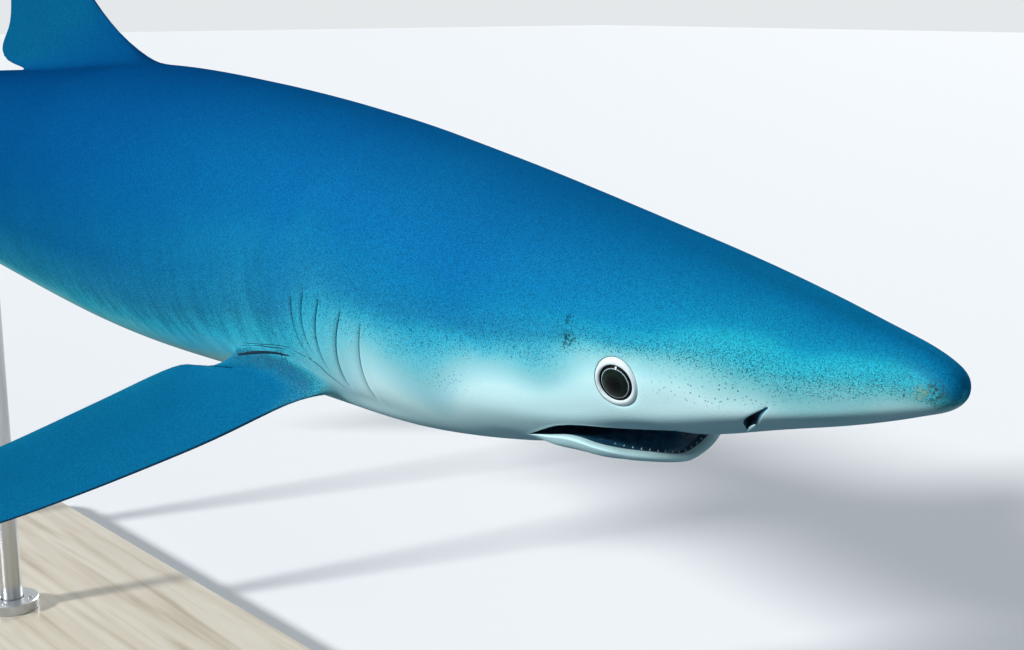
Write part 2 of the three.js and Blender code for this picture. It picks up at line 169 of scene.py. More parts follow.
lobeCurve = curveThrough(range(len(body["tailLobe"])), body["tailLobe"])


def sideways(at):
    start, length, depth = body["bow"]
    bowed = np.maximum(0, at - start) / length
    swingStart, reach = body["tailSwing"]
    swung = np.maximum(0, at - swingStart) / (100 - swingStart)
    return -depth * (1 - np.cos(2 * np.pi * bowed)) / 2 + reach * swung**3


# From distances along, left and up to a place in the room. The spine only bends sideways.
def place(at, left, height):
    slope = (sideways(at + 0.1) - sideways(at - 0.1)) / 0.2
    lean = np.hypot(1, slope)
    x = (50 - at + left * slope / lean) * percent
    y = (sideways(at) + left / lean) * percent + body["sideShift"]
    return np.stack([x, y, height * percent + body["snoutHeight"]], -1)


def softPower(value):
    return np.sign(value) * np.abs(value) ** (2 / body["roundness"])


def girthAt(at):
    return np.moveaxis(girthCurve(np.sqrt(np.clip(at, 0, body["tailRoot"]))), -1, 0)


# Body distances of a point of the skin. The angle runs from -90 at the belly over 0 at the flank
# to 90 at the back, side is 1 on the left, and grow lifts the point, in percent.
def bodyPoint(at, angle, side, grow=0.0):
    turn = np.radians(angle)
    across, up = softPower(np.cos(turn)), softPower(np.sin(turn))
    lift = grow + sum(softPatches(body["relief"], at, angle)) * perMillimetre
    height, halfWidth, middle = girthAt(at)
    left = across * halfWidth + np.cos(turn) * lift
    rise = middle + up * height / 2 + np.sin(turn) * lift
    lobePlace = np.clip((at - body["tailRoot"]) * body["lobeRate"], 0, len(body["tailLobe"]) - 1)
    edge = np.moveaxis(lobeCurve(lobePlace), -1, 0)
    share = (1 - up) / 2
    blade = 1 - edge[5] * body["bladeThin"] * smoothStep(share, body["bladeFrom"], 1)
    onLobe = np.asarray(at) > body["tailRoot"]
    along = np.where(onLobe, lerp(edge[0], edge[2], share), at)
    lobeLeft = across * edge[4] * blade + np.cos(turn) * lift * body["lobeRelief"]
    left = np.where(onLobe, lobeLeft, left)
    rise = np.where(onLobe, lerp(edge[1], edge[3], share), rise)
    return along, side * left, rise


def skinPoint(at, angle, side, grow=0.0):
    return place(*bodyPoint(at, angle, side, grow))


# Distance and angle of the skin's nearest point to a place in the room, from a first guess.
def nearestSkin(target, at, angle, side):
    for _ in range(8):
        alongStep = (skinPoint(at + 0.02, angle, side) - skinPoint(at - 0.02, angle, side)) / 0.04
        roundStep = (skinPoint(at, angle + 0.2, side) - skinPoint(at, angle - 0.2, side)) / 0.4
        off = (target - skinPoint(at, angle, side))[..., None]
        move = np.linalg.pinv(np.stack([alongStep, roundStep], -1)) @ off
        at, angle = at + move[..., 0, 0], angle + move[..., 1, 0]
    return at, angle


# The skin's outward, forward and upward directions at a point.
def skinAxes(at, angle, side):
    forward = unit(skinPoint(at - 0.1, angle, side) - skinPoint(at + 0.1, angle, side))
    upward = unit(skinPoint(at, angle + 1, side) - skinPoint(at, angle - 1, side))
    return unit(np.cross(upward, forward)) * side, forward, unit(upward - (upward @ forward) * forward)


# The skin's grid
# The skin starts as a sheet of squares rolled round the body. Lines of the grid are then drawn to
# the edges of the mouth, eyes, nostrils, gill slits and fins, and the squares between them follow.
gillSlits = [  # distance of the upper end, the middle and the lower end, then both ends' angles
    (17.9, 18.4, 18.6, -1, -43),
    (18.8, 19.5, 19.7, 1, -39),
    (19.9, 20.4, 20.25, 2, -34),
    (20.7, 21.0, 20.75, 2, -25),
    (21.35, 21.3, 20.1, 0, -44),
]
slit = {
    "lip": 0.032,  # percent
    "depth": 3.6,  # millimetres
    "flap": 0.6,
    "shade": 0.9,  # painted shade inside the slit
    "deep": (0.15, 0.88),  # shares of its length between which it is fully deep
    "between": (0.35, 0.7),  # places of the grid's rings between two slits
}
gridPlan = {
    "columns": [(-90, -70, 3), (-70, 15, 25), (15, 90, 12)],  # from angle, to angle, squares
    "snoutRings": 8,
    "head": [(1, 4, 11), (4, 13.2, 46), (13.2, 17.5, 14)],  # from, to, squares
    "trunk": [(21.8, 27.6, 20), (27.6, 60, 50), (60, 68, 16), (68, 76, 12), (76, 100, 34)],
    "gillsEnd": 21.5,
    "spread": (400, 0.2485),  # how often a move is passed on, and to each neighbour how much of it
}


# Even steps over stretches given as from, to and count, without the first stretch's start.
def evenSteps(stretches):
    return [lerp(start, end, k / count) for start, end, count in stretches for k in range(1, count + 1)]


def gridRings():
    count = gridPlan["snoutRings"]
    rings = [(k / count) ** 2 for k in range(1, count + 1)] + evenSteps(gridPlan["head"])
    for before, (_, at, *_) in zip([rings[-1]] + [s[1] for s in gillSlits], gillSlits):
        rings += [lerp(before, at, t) for t in slit["between"]]
        rings += [at - slit["lip"], at, at + slit["lip"]]
    return np.array(rings + [gridPlan["gillsEnd"], gridPlan["trunk"][0][0]] + evenSteps(gridPlan["trunk"]))


ringAt = gridRings()
sideAngles = np.array([-90.0] + evenSteps(gridPlan["columns"]))
halfCount = len(sideAngles) - 1
columnCount = 2 * halfCount
# columns 0 to halfCount climb the left side, from the belly to the back; the rest mirror them
columnAngle = np.concatenate([sideAngles, sideAngles[-2:0:-1]])
columnSide = np.array([1.0] * (halfCount + 1) + [-1.0] * (halfCount - 1))
gridAt = np.repeat(ringAt[:, None], columnCount, 1)
gridAngle = np.repeat(columnAngle[None], len(ringAt), 0)
gridGrow = np.zeros_like(gridAt)
gridShade = np.zeros_like(gridAt)
held = {}  # (ring, column): (distance, angle)


def ringNear(at):
    return int(np.argmin(np.abs(ringAt - at)))


def stepNear(angle):
    return int(np.argmin(np.abs(sideAngles - angle)))


def column(step, side):
    return (step if side > 0 else -step) % columnCount


# Spreads the moves of the held points over their neighbours, less with distance.
def settleGrid():
    global gridAt, gridAngle
    fixed = np.zeros(gridAt.shape, bool)
    wanted = np.zeros((2, *gridAt.shape))
    for (i, j), (at, angle) in held.items():
        fixed[i, j] = True
        wanted[:, i, j] = at - gridAt[i, j], angle - gridAngle[i, j]
    moves = wanted.copy()
    rounds, passed = gridPlan["spread"]
    for _ in range(rounds):
        spread = np.roll(moves, 1, 2) + np.roll(moves, -1, 2)
        spread[:, 1:-1] += moves[:, 2:] + moves[:, :-2]
        spread[:, [0, -1]] = 0
        moves = np.where(fixed, wanted, spread * passed)
        moves[1][:, [0, halfCount]] = 0
    gridAt = gridAt + moves[0]
    gridAngle = gridAngle + moves[1]


# A block of squares is its first and last ring and its first and last step round, where a negative
# step is on the right. Its rim runs from the front along row a and back along row b.
def blockRim(first, last, stepA, stepB):
    walk = 1 if stepB > stepA else -1
    rim = [(i, stepA) for i in range(first, last + 1)]
    rim += [(last, j) for j in range(stepA + walk, stepB, walk)]
    rim += [(i, stepB) for i in range(last, first - 1, -1)]
    rim += [(first, j) for j in range(stepB - walk, stepA, -walk)]
    return [(i, j % columnCount) for i, j in rim]


# Angles round a rim, where 0 is its front and pi its back, and row a lies between them.
def rimTurns(first, last, stepA, stepB):
    count = 2 * (last - first + abs(stepB - stepA))
    return 2 * np.pi * (np.arange(count) + abs(stepB - stepA) / 2) / count


def holdRim(block, places):
    held.update(zip(blockRim(*block), zip(*places)))


# Mouth line
mouth = {
    "lip": [  # distance and angle of the lip, from the front to the corner of the mouth
        (7.8, -90), (7.88, -79), (8.05, -68), (8.35, -57.5), (8.8, -48.5),
        (9.4, -42.5), (10.1, -39.8), (10.8, -40.8), (11.5, -45.2), (12.85, -57),
    ],
    "front": 8.35,  # the front lip's ring
    "corner": 12.85,
    "turn": -54,  # the lip leaves its ring and follows a column here
    "behind": 14.2,  # the skin moves with the jaw up to here
    "hinge": (12.9, -3.3),  # distance and height of the jaw's hinge
    # stretches of distance over which each change comes in
    "swings": (13.8, 11.6),
    "narrows": (12.8, 11.4),
    "standsBack": (10.8, 8.0),
    "parts": [(8.6, 9.8), (12.6, 11.4)],
    "swells": (12.7, 11.4),
    "foldsLower": (10.0, 8.2),
    "foldsFrom": 0.25,  # share of the lip over which the folds grow from each corner
    "drop": 10,  # degrees the jaw hangs open
    "chin": 0.75,  # how far the chin stands back
    "sink": 0.2,  # and how far it hangs lower
    # height of the folds inside the lower lip at its sides and its front, of their full height
    "lowFold": (0.2, 0.45),
    "narrow": 0.95,
    "part": 2.5,  # degrees the lower lip stands lower on the skin than the upper one, at its sides
    "swell": [0, 2.0, 1.7, 0.9, 0],  # millimetres of the lower lip's thickness, over the rows below it
    # folds of skin inside each lip: how far in, how far up, and whether it is mouth lining
    "upperFolds": [(0.03, -0.05, 0), (0.1, -0.03, 0), (0.19, 0.07, 0), (0.28, 0.3, 1), (0.42, 0.6, 1)],
    "lowerFolds": [
        (-0.03, 0.14, 0), (0.0, 0.3, 0), (0.1, 0.42, 0), (0.24, 0.45, 0), (0.4, 0.38, 1), (0.55, 0.1, 1),
    ],
    "palateRise": 1.0,
    "floorDrop": 0.06,
    "across": [0.06, 0.16, 0.32, 0.5, 0.68, 0.84, 0.94],  # rows over the palate and the floor
    "middle": (10.5, 0),
}
mouthFront = ringNear(mouth["front"])
mouthCorner = ringNear(mouth["corner"])
mouthStep = stepNear(mouth["turn"])


# The lip's grid points, from the middle to a corner of the mouth.
def halfLip(side):
    front = [(mouthFront, column(j, side)) for j in range(mouthStep + 1)]
    return front + [(i, column(mouthStep, side)) for i in range(mouthFront + 1, mouthCorner + 1)]


lipRight, lipLeft = halfLip(-1), halfLip(1)
lipKeys = lipRight[::-1] + lipLeft[1:]


def holdMouth():
    lip = np.array(mouth["lip"], float)
    length = lengthAlong(skinPoint(lip[:, 0], lip[:, 1], 1))
    line = curveThrough(length, lip)(np.linspace(0, length[-1], len(lipLeft)))
    for keys in (lipLeft, lipRight):
        held.update(zip(keys, line))


# Eyes' and nostrils' rims
lidMaterial, mouthMaterial, socketShadeMaterial = 1, 2, 3
eye = {
    "at": 8.1,
    "angle": -10.5,
    "squares": 4,  # of the grid, from the eye's middle to its rim
    "radius": 17,  # millimetres, as is all below
    # rings of the white lid: radius and lift off the skin, the second in a fine groove
    "lid": [(15.9, 0), (15.3, -0.9), (14.8, 0.3), (13.6, 0.9)],
    "oval": (0.93, 1.05),  # the lid's stretch along and up
    # then rings round the eyeball: degrees from its front and clearance
    "lidEdge": [(40, 2.0), (38.5, 0.3)],
    "socket": [(44, 0.3), (65, 0.35), (95, 0.35), (125, 0.35), (155, 0.35)],
    "groove": 0.8,  # painted shade in the fine groove round the lid
}
nostril = {
    "from": (4.0, -24),
    "to": (5.3, -61),
    "ring": 4.65,  # distance of its grid ring
    "even": 0.65,  # how evenly its rim is divided
    "bow": 0.1,
    # half widths before and behind its long axis, at the upper and the lower end
    "front": (0.06, 0.34),
    "back": (0.325, 0.065),
    "fullBack": 0.7,
    "middle": (4.7, -42),
    # rings inside it: shrink, depth in mm and material, whose dark blue and near-black are painted shade
    # of the pit
    "pit": [(0.96, 0.8, mouthMaterial), (0.85, 3.0, mouthMaterial), (0.7, 6.0, socketShadeMaterial)],
    # white flap over the lower end: its upper and its lower edge, both from root to tip
    "flapEdges": [
        [(4.62, -43), (5.0, -52), (5.42, -63)],
        [(4.84, -54), (5.12, -60), (5.44, -64.5)],
    ],
    "flapFacing": (5, -55),
    "flapLift": 0.45,  # millimetres
    "flapThick": 1.0,  # millimetres
}


def eyeBlock(side):
    ring, step, span = ringNear(eye["at"]), stepNear(eye["angle"]), eye["squares"]
    return ring - span, ring + span, side * (step - span), side * (step + span)


def circleOnSkin(side, radius, turns):
    _, forward, upward = skinAxes(eye["at"], eye["angle"], side)
    longer, taller = eye["oval"]
    reach = longer * np.cos(turns)[:, None] * forward - taller * np.sin(turns)[:, None] * upward
    ring = skinPoint(eye["at"], eye["angle"], side) + radius * millimetre * reach
    guessAt = eye["at"] - radius * perMillimetre * np.cos(turns)
    return nearestSkin(ring, guessAt, eye["angle"] - radius * np.sin(turns), side)


def nostrilBlock(side):
    ring = ringNear(nostril["ring"])
    return ring - 1, ring + 1, side * stepNear(nostril["to"][1]), side * stepNear(nostril["from"][1])


# The opening's long axis runs from its upper front end to its lower back end.
def nostrilOutline(turns):
    even = 0.5 + 0.5 * np.sin(turns)  # 0 at the top
    share = lerp(0.5 - 0.5 * np.cos(np.pi * even), even, nostril["even"])
    bulge = np.sin(np.pi * share)
    at, angle = (lerp(start, end, share) for start, end in zip(nostril["from"], nostril["to"]))
    back = lerp(*nostril["back"], share) * bulge ** nostril["fullBack"]
    front = lerp(*nostril["front"], share) * bulge
    behind = -np.cos(turns)
    return at + nostril["bow"] * bulge + behind * np.where(behind > 0, back, front), angle


# Gill slits
def holdGills():
    for upper, middle, lower, top, bottom in gillSlits:
        ring = ringNear(middle)
        for step in range(stepNear(bottom), stepNear(top) + 1):
            angle = sideAngles[step]
            t = np.clip((top - angle) / (top - bottom), 0, 1)
            at = upper * (1 - t) * (1 - 2 * t) + middle * 4 * t * (1 - t) + lower * t * (2 * t - 1)
            depth = smoothStep(t, 0, slit["deep"][0]) * smoothStep(t, 1, slit["deep"][1])
            for j in (column(step, 1), column(step, -1)):
                for offset, lift in ((-1, slit["flap"]), (0, -slit["depth"]), (1, 0)):
                    held[(ring + offset, j)] = (at + offset * slit["lip"], angle)
                    gridGrow[ring + offset, j] = lift * depth * perMillimetre
                # painted shade along the slit's deepest ring
                gridShade[ring, j] = depth * slit["shade"]


# Fins
# Each fin lies in a plane of its own. Edge points are (distance back, distance out), from the root
# to the tip, and half is the half thickness at both ends. root is the line where it grows from the
# body: from, to, the angles there, and half its width in degrees. flare is how far its foot spreads.
# rings and steps bound its block of the skin's grid, by distance and angle. rows counts its loops
# from firstRow, a share of the span. Edge points start from origin, a place in body distances, and
# up is 1 on the back, -1 on the belly and 0 where they are measured from the snout's level.
fins = {
    "pectoral": {
        "leading": [
            (-0.9, -1.5), (-0.2, 1), (-0.5, 4.8), (-0.7, 9.3), (-0.4, 13.6), (1.2, 18.4), (3.9, 21.5),
        ],
        "trailing": [
            (3.2, 2.4), (4.7, 4.7), (6.4, 6.4), (5.9, 9.8), (5.2, 13.8), (4.9, 18.2), (4.7, 21.5),
        ],
        "half": (0.62, 0.07),
        "root": (21.0, 26.0, -43, -43, 8),
        "flare": 7,  # millimetres
        "rings": (21.5, 25.8),
        "steps": (-59, -31),
        "rows": 26,
        "firstRow": 0.135,
        "origin": (21.7, 3.25, -3.75),
        "rootRise": 1.0,  # percent that the root stands higher than the fin's plane
        "turns": (47.5, 21.3, 5),  # sweep back, droop and twist in degrees
    },
    "pelvic": {
        "leading": [(-0.6, -0.8), (1.0, 1.5), (3.0, 3.5), (4.6, 4.3)],
        "trailing": [(4.6, -0.4), (6.9, 1.2), (6.1, 2.9), (5.2, 4.3)],
        "half": (0.32, 0.07),
        "root": (49.3, 54.2, -65, -71, 4.5),
        "flare": 7,
        "steps": (-77, -62),
        "rows": 9,
        "firstRow": 0.3,
        "origin": (49, 1.9, -2.3),
        "turns": (25, 38, 0),
    },
    "dorsalFirst": {
        "leading": [(-2.0, -0.9), (2.1, 1.8), (4.8, 4.2), (7.2, 5.8), (9.3, 6.4)],
        "trailing": [(8.6, -0.9), (12.3, 0.7), (11.1, 2.2), (10.8, 4.3), (10.7, 6.1)],
        "half": (0.5, 0.07),
        "root": (37.1, 46.9, 90, 90, 6),
        "flare": 13,
        "steps": (77, 77),
        "rows": 14,
        "firstRow": 0.2,
        "origin": (37.9, 0, 0),
        "up": 1,
    },
    "dorsalSecond": {
        "leading": [(-0.6, -0.5), (1.1, 0.9), (2.3, 1.85), (3.1, 2.2)],
        "trailing": [(3.0, -0.5), (5.9, 0.45), (4.3, 1.05), (3.7, 2.1)],
        "half": (0.24, 0.06),
        "root": (62.3, 65.9, 90, 90, 6),
        "flare": 3.5,
        "steps": (83, 83),
        "rows": 7,
        "firstRow": 0.27,
        "origin": (62.5, 0, 0),
        "up": 1,
    },
    "anal": {
        "leading": [(-0.6, -0.5), (1.5, 1.1), (3.0, 2.3), (4.0, 2.8)],
        "trailing": [(3.2, -0.5), (5.7, 0.4), (4.2, 1.15), (4.5, 2.7)],
        "half": (0.24, 0.06),
        "root": (62.0, 65.9, -90, -90, 6),
        "flare": 3.5,
        "steps": (-83, -83),
        "rows": 8,
        "firstRow": 0.27,
        "origin": (62.3, 0, 0),
        "up": -1,
    },
    "tailLower": {
        "leading": [(0.1, -2.1), (2.0, 1.6), (5.0, 4.9), (8.4, 7.6)],
        "trailing": [(7.0, -3.6), (6.6, -0.2), (7.4, 3.8), (9.0, 7.5)],
        "half": (0.55, 0.08),
        "root": (76.6, 81.6, -90, -90, 16),
        "flare": 7,
        "steps": (-70, -70),
        "rows": 16,
        "firstRow": 0.3,
        "origin": (76, 0, 0),
        "up": 0,
    },
}
finShape = {
    "thickest": 0.3,  # share of the section's length from its leading edge
    "trailing": 0.06,  # how blunt the trailing edge is
    "full": 0.4,  # less makes the section fuller
    "footFull": 0.7,  # and its foot
    "thins": 0.7,  # less makes a fin thin sooner towards its tip
    "tip": 0.94,  # share of the span where the tip starts to round off
    "tipLength": 0.12,  # share of the section's length that is left at the very tip
    "clearance": 0.13,  # percent between a fin's free rear corner and the body
    "free": (0.55, 0.8),  # shares of the section's length over which that corner comes free
    "riseEnds": (0.12, 0.34),  # shares of the span over which a raised root comes down
    "riseFront": 0.25,  # share of that rise at the leading edge
    "foot": (0.3, 0.62),  # places of the two loops in a fin's rounded foot
    "spacing": 1.5,  # more crowds the rows towards the tip
}


# A fin's blocks of squares, by side: one on each side, or one across the back or the belly.
def finBlocks(name):
    fin = fins[name]
    first, last = (ringNear(at) for at in fin.get("rings", fin["root"][:2]))
    low, high = (stepNear(angle) for angle in fin["steps"])
    if "turns" in fin:
        return {side: (first, last, side * low, side * high) for side in (1, -1)}
    return {1: (first, last, low, columnCount - low if fin["root"][2] > 0 else -low)}


# The fin's root line on the skin, wider and longer by flare millimetres.
def finRoot(name, turns, flare):
    start, end, startAngle, endAngle, half = fins[name]["root"]
    chord = (1 - np.cos(turns)) / 2
    middleAt = (start + end) / 2
    twoDegrees = skinPoint(middleAt, startAngle + 1, 1) - skinPoint(middleAt, startAngle - 1, 1)
    wider = half + flare * millimetre / (np.linalg.norm(twoDegrees) / 2)
    at = lerp(start, end, chord) - np.cos(turns) * flare * perMillimetre
    spread = np.sign(np.sin(turns)) * np.abs(np.sin(turns)) ** finShape["footFull"] * wider
    if abs(startAngle) == 90:
        return at, startAngle - np.sign(startAngle) * np.abs(spread)
    return at, lerp(startAngle, endAngle, chord) - spread


def holdFins():
    for name, fin in fins.items():
        for block in finBlocks(name).values():
            holdRim(block, finRoot(name, rimTurns(*block), fin["flare"]))


def finSection(chord, side):
    rise = np.minimum(1, np.sqrt(chord / finShape["thickest"]))
    fall = np.minimum(1, (1 + finShape["trailing"] - chord) / (1 - finShape["thickest"]))
    return np.sign(side) * np.abs(side) ** finShape["full"] * rise * fall


def spanAxes(fin):
    sweep, droop, twist = np.radians(fin["turns"])
    span = np.array([np.sin(sweep) * np.cos(droop), np.cos(sweep) * np.cos(droop), -np.sin(droop)])
    chord = unit(np.array([1.0, 0, 0]) - span * span[0])
    chord = chord * np.cos(twist) + np.cross(span, chord) * np.sin(twist)
    return span, chord, np.cross(span, chord)


# Pushes points out of the body until they clear it.
def clearOfBody(along, left, rise, clearance):
    height, halfWidth, middle = girthAt(along)
    power = body["roundness"]
    reach = (np.abs(left) / halfWidth) ** power + (np.abs(rise - middle) / (height / 2)) ** power
    scale = np.maximum(1, (1 + clearance / halfWidth) / reach ** (1 / power))
    return left * scale, middle + (rise - middle) * scale


# A closed loop of fin points in the room, one for each turn, at a share t of the span.
def finLoop(name, side, t, turns):
    fin = fins[name]
    chord = (1 - np.cos(turns)) / 2
    front, back = evenCurve(fin["leading"])(t), evenCurve(fin["trailing"])(t)
    edge = lerp(front[None], back[None], chord[:, None])
    tip = max(0, (t - finShape["tip"]) / (1 - finShape["tip"]))
    edge = lerp((front + back)[None] / 2, edge, max(finShape["tipLength"], math.sqrt(1 - tip**2)))
    half = lerp(*fin["half"], t ** finShape["thins"])
    thick = finSection(chord, np.sin(turns)) * half
    originAt, out, height = fin["origin"]
    along, left = originAt + edge[:, 0], thick
    if "turns" in fin:
        span, chordAxis, flat = spanAxes(fin)
        offset = edge[:, :1] * chordAxis + edge[:, 1:] * span
        lifted = fin.get("rootRise", 0) * (1 - smoothStep(t, *finShape["riseEnds"]))
        rise = height + offset[:, 2] + lifted * lerp(finShape["riseFront"], 1, chord)
        along = originAt + offset[:, 0]
        left, rise = clearOfBody(along, out + offset[:, 1], rise, finShape["clearance"] + half / 2)
        along = along + thick * flat[0]
        left = (left + thick * flat[1]) * side
        rise = rise + thick * flat[2]
    elif fin["up"]:
        girth, _, middle = girthAt(along)
        beyond = np.maximum(edge[:, 1], finShape["clearance"] * smoothStep(chord, *finShape["free"]))
        rise = middle + fin["up"] * (girth / 2 + beyond)
    else:
        rise = -edge[:, 1]
    return place(along, left, rise)


# The skin's mesh
holdMouth()
for side in (1, -1):
    block = eyeBlock(side)
    holdRim(block, circleOnSkin(side, eye["lid"][0][0], rimTurns(*block)))
    block = nostrilBlock(side)
    holdRim(block, nostrilOutline(rimTurns(*block)))
holdGills()
holdFins()
settleGrid()

skin = bmesh.new()
ringLayer, columnLayer = (skin.verts.layers.int.new(name) for name in ("ring", "column"))
toneLayer, finLayer, poreLayer, shadeLayer = (
    skin.verts.layers.float.new(name) for name in ("tone", "fin", "pore", "shade")
)
lengthCount = len(ringAt) - 1
bmesh.ops.create_grid(skin, x_segments=columnCount, y_segments=lengthCount, size=1)


# Ring and column of a place on the flat sheet, which reaches from -1 to 1 both ways.
def sheetKey(spot, whole):
    return whole((spot.y + 1) / 2 * lengthCount), whole((spot.x + 1) / 2 * columnCount)


gridVerts = {sheetKey(vert.co, round): vert for vert in skin.verts}
cells = {sheetKey(face.calc_center_median(), int): face for face in skin.faces}
skinPoints = skinPoint(gridAt, gridAngle, columnSide[None], gridGrow)
for (i, j), vert in gridVerts.items():
    vert[ringLayer] = i
    vert[columnLayer] = j % columnCount
    vert.co = skinPoints[i, j % columnCount]
seam = {gridVerts[(i, columnCount)]: gridVerts[(i, 0)] for i in range(len(ringAt))}
bmesh.ops.weld_verts(skin, targetmap=seam)
gridVerts = {key: vert for key, vert in gridVerts.items() if key[1] < columnCount}
print("skin grid:", len(skin.verts), "points")


# Closes a loop on a new middle point.
def closeLoop(loop, material=0):
    edges = [skin.edges.get(pair) for pair in zip(loop, loop[1:] + loop[:1])]
    cap = bmesh.ops.edgeloop_fill(skin, edges=edges)["faces"]
    cap[0].material_index = material
    return bmesh.ops.poke(skin, faces=cap)["verts"][0]


capMiddles = [closeLoop([gridVerts[(i, j)] for j in range(columnCount)]) for i in (0, lengthCount)]
capMiddles[0].co = place(0, 0, 0)

# How blue the skin is: 0 on the belly, 1 at the edge of the blue, 2 on the flank, 3 on the back.
colouring = {
    # distance from the snout, angle of the blue's edge, width of the soft edge below and above
    "edge": [
        # the first row turns the very tip of the snout blue all round: painted shade of the tip
        (0, -140, 50, 44), (0.12, -60, 50, 44), (0.3, -30, 50, 44), (1, 0, 50, 44), (2, 0, 55, 42),
        (3.3, 1, 55, 28), (4.2, 5, 38, 34), (5.2, 8, 34, 29), (6.2, 10, 22, 20), (7, 9, 17, 13),
        (8, 8, 13, 11), (9.2, 9, 20, 12), (10.6, 4, 25, 16), (12, 2, 20, 18), (13.6, -2, 21, 20),
        (15.4, -2.5, 44, 24), (16.5, -4, 35, 24), (18, -2.5, 26, 26), (19, -3, 36, 30),
        (20, -5.5, 48, 34), (21, -11, 56, 42), (22, -22, 46, 42), (23.5, -23, 38, 42),
        (26, -29, 36, 42), (31, -38, 36, 44), (42, -40, 28, 44), (60, -42, 26, 44),
        (72, -40, 28, 44), (78, -72, 22, 40), (100, -84, 20, 40),
    ],
    # soft patches: distance, angle, their reaches and added tone or pores
    "dusky": [(10.3, -11, 1.4, 10, 0.2), (6.8, -7, 0.9, 9, 0.18)],
    "pores": [(5.2, -12, 1.6, 11, 1.0), (14.6, -19, 1.2, 6, 0.9)],
}
edgeCurve = curveThrough([e[0] for e in colouring["edge"]], [e[1:] for e in colouring["edge"]])


def toneAt(at, angle):
    edge, below, above = np.moveaxis(edgeCurve(at), -1, 0)
    past = angle - edge
    top = np.clip((past - above) / np.maximum(10, 90 - edge - above), 0, 1)
    return np.clip(1 + past / below, 0, 1) + np.clip(past / above, 0, 1) + top


gridTone = toneAt(gridAt, gridAngle) + sum(softPatches(colouring["dusky"], gridAt, gridAngle))
gridPore = np.maximum(*softPatches(colouring["pores"], gridAt, gridAngle))
for key, vert in gridVerts.items():
    vert[toneLayer] = gridTone[key]
    vert[shadeLayer] = gridShade[key]
    vert[poreLayer] = gridPore[key]
for vert in capMiddles:
    vert[toneLayer] = vert.link_edges[0].other_vert(vert)[toneLayer]


# Extrudes the edges between points in order, closed or not, and puts the new points at places.
def extrudeLine(line, places, closed=True, material=0):
    edges = [skin.edges.get(pair) for pair in zip(line, line[1:] + line[:1] if closed else line[1:])]
    made = bmesh.ops.extrude_edge_only(skin, edges=edges)["geom"]
    fresh = {item for item in made if isinstance(item, bmesh.types.BMVert)}
    follower = {edge.other_vert(vert): vert for vert in fresh for edge in vert.link_edges}
    moved = [follower[vert] for vert in line]
    for vert, spot in zip(moved, places):
        vert.co = spot
    for item in made:
        if isinstance(item, bmesh.types.BMFace):
            item.material_index = material
    return moved


def openBlock(block):
    first, last, *steps = block
    rim = [gridVerts[key] for key in blockRim(*block)]
    gone = [cells[(i, j % columnCount)] for i in range(first, last) for j in range(min(steps), max(steps))]
    bmesh.ops.delete(skin, geom=gone, context="FACES")
    return rim


# Mouth


# Swings a point of the lower jaw, in body distances, down about its hinge.
def lowerJaw(at, left, rise):
    hingeAt, hingeHeight = mouth["hinge"]
    turn = math.radians(mouth["drop"]) * smoothStep(at, *mouth["swings"])
    ahead, above = at - hingeAt, rise - hingeHeight
    front = smoothStep(at, *mouth["standsBack"])
    newAt = hingeAt + ahead * math.cos(turn) - above * math.sin(turn) + mouth["chin"] * front
    newRise = hingeHeight + above * math.cos(turn) + ahead * math.sin(turn) - mouth["sink"] * front
    return newAt, left * lerp(1, mouth["narrow"], smoothStep(at, *mouth["narrows"])), newRise


# The angle of a point of the lower jaw on the closed skin, some rows below the lip.
def jawAngle(key, below):
    share = math.prod(smoothStep(gridAt[key], *stretch) for stretch in mouth["parts"])
    return gridAngle[key] - mouth["part"] * share * (1 - below / (len(mouth["swell"]) - 1))


# Parts the lips and opens the jaw. Returns the points of the upper and of the lower lip.
def openMouth():
    path = [gridVerts[key] for key in lipKeys]
    bmesh.ops.split_edges(skin, edges=[skin.edges.get(pair) for pair in zip(path, path[1:])])
    rings, steps = range(mouthFront, mouthCorner), range(-mouthStep, mouthStep)
    jaw = {vert for i in rings for j in steps for vert in cells[(i, j % columnCount)].verts}
    lower = {(vert[ringLayer], vert[columnLayer]): vert for vert in jaw}
    others = {(vert[ringLayer], vert[columnLayer]): vert for vert in skin.verts if vert not in jaw}
    for ring in range(mouthFront, ringNear(mouth["behind"])):
        for step in range(-mouthStep, mouthStep + 1):
            key = (ring, step % columnCount)
            below = min(mouthStep - abs(step), ring - mouthFront, len(mouth["swell"]) - 1)
            swell = mouth["swell"][below] * smoothStep(gridAt[key], *mouth["swells"]) * perMillimetre
            spot = bodyPoint(gridAt[key], jawAngle(key, below), 1 if step >= 0 else -1, swell)
            lower.get(key, gridVerts[key]).co = place(*lowerJaw(*spot))
    return {key: others.get(key, lower[key]) for key in lipKeys}, lower


# Body distances of the lip's points. The corners of the mouth belong to the jaw.
def lipPlaces(keys, onJaw):
    spots = []
    for key in keys:
        spot = bodyPoint(gridAt[key], jawAngle(key, 0) if onJaw else gridAngle[key], columnSide[key[1]])
        spots.append(lowerJaw(*spot) if onJaw or key in (lipKeys[0], lipKeys[-1]) else spot)
    return np.array(spots)


def towardsMiddle(lip):
    return unit(np.array(mouth["middle"]) - lip[:, :2])


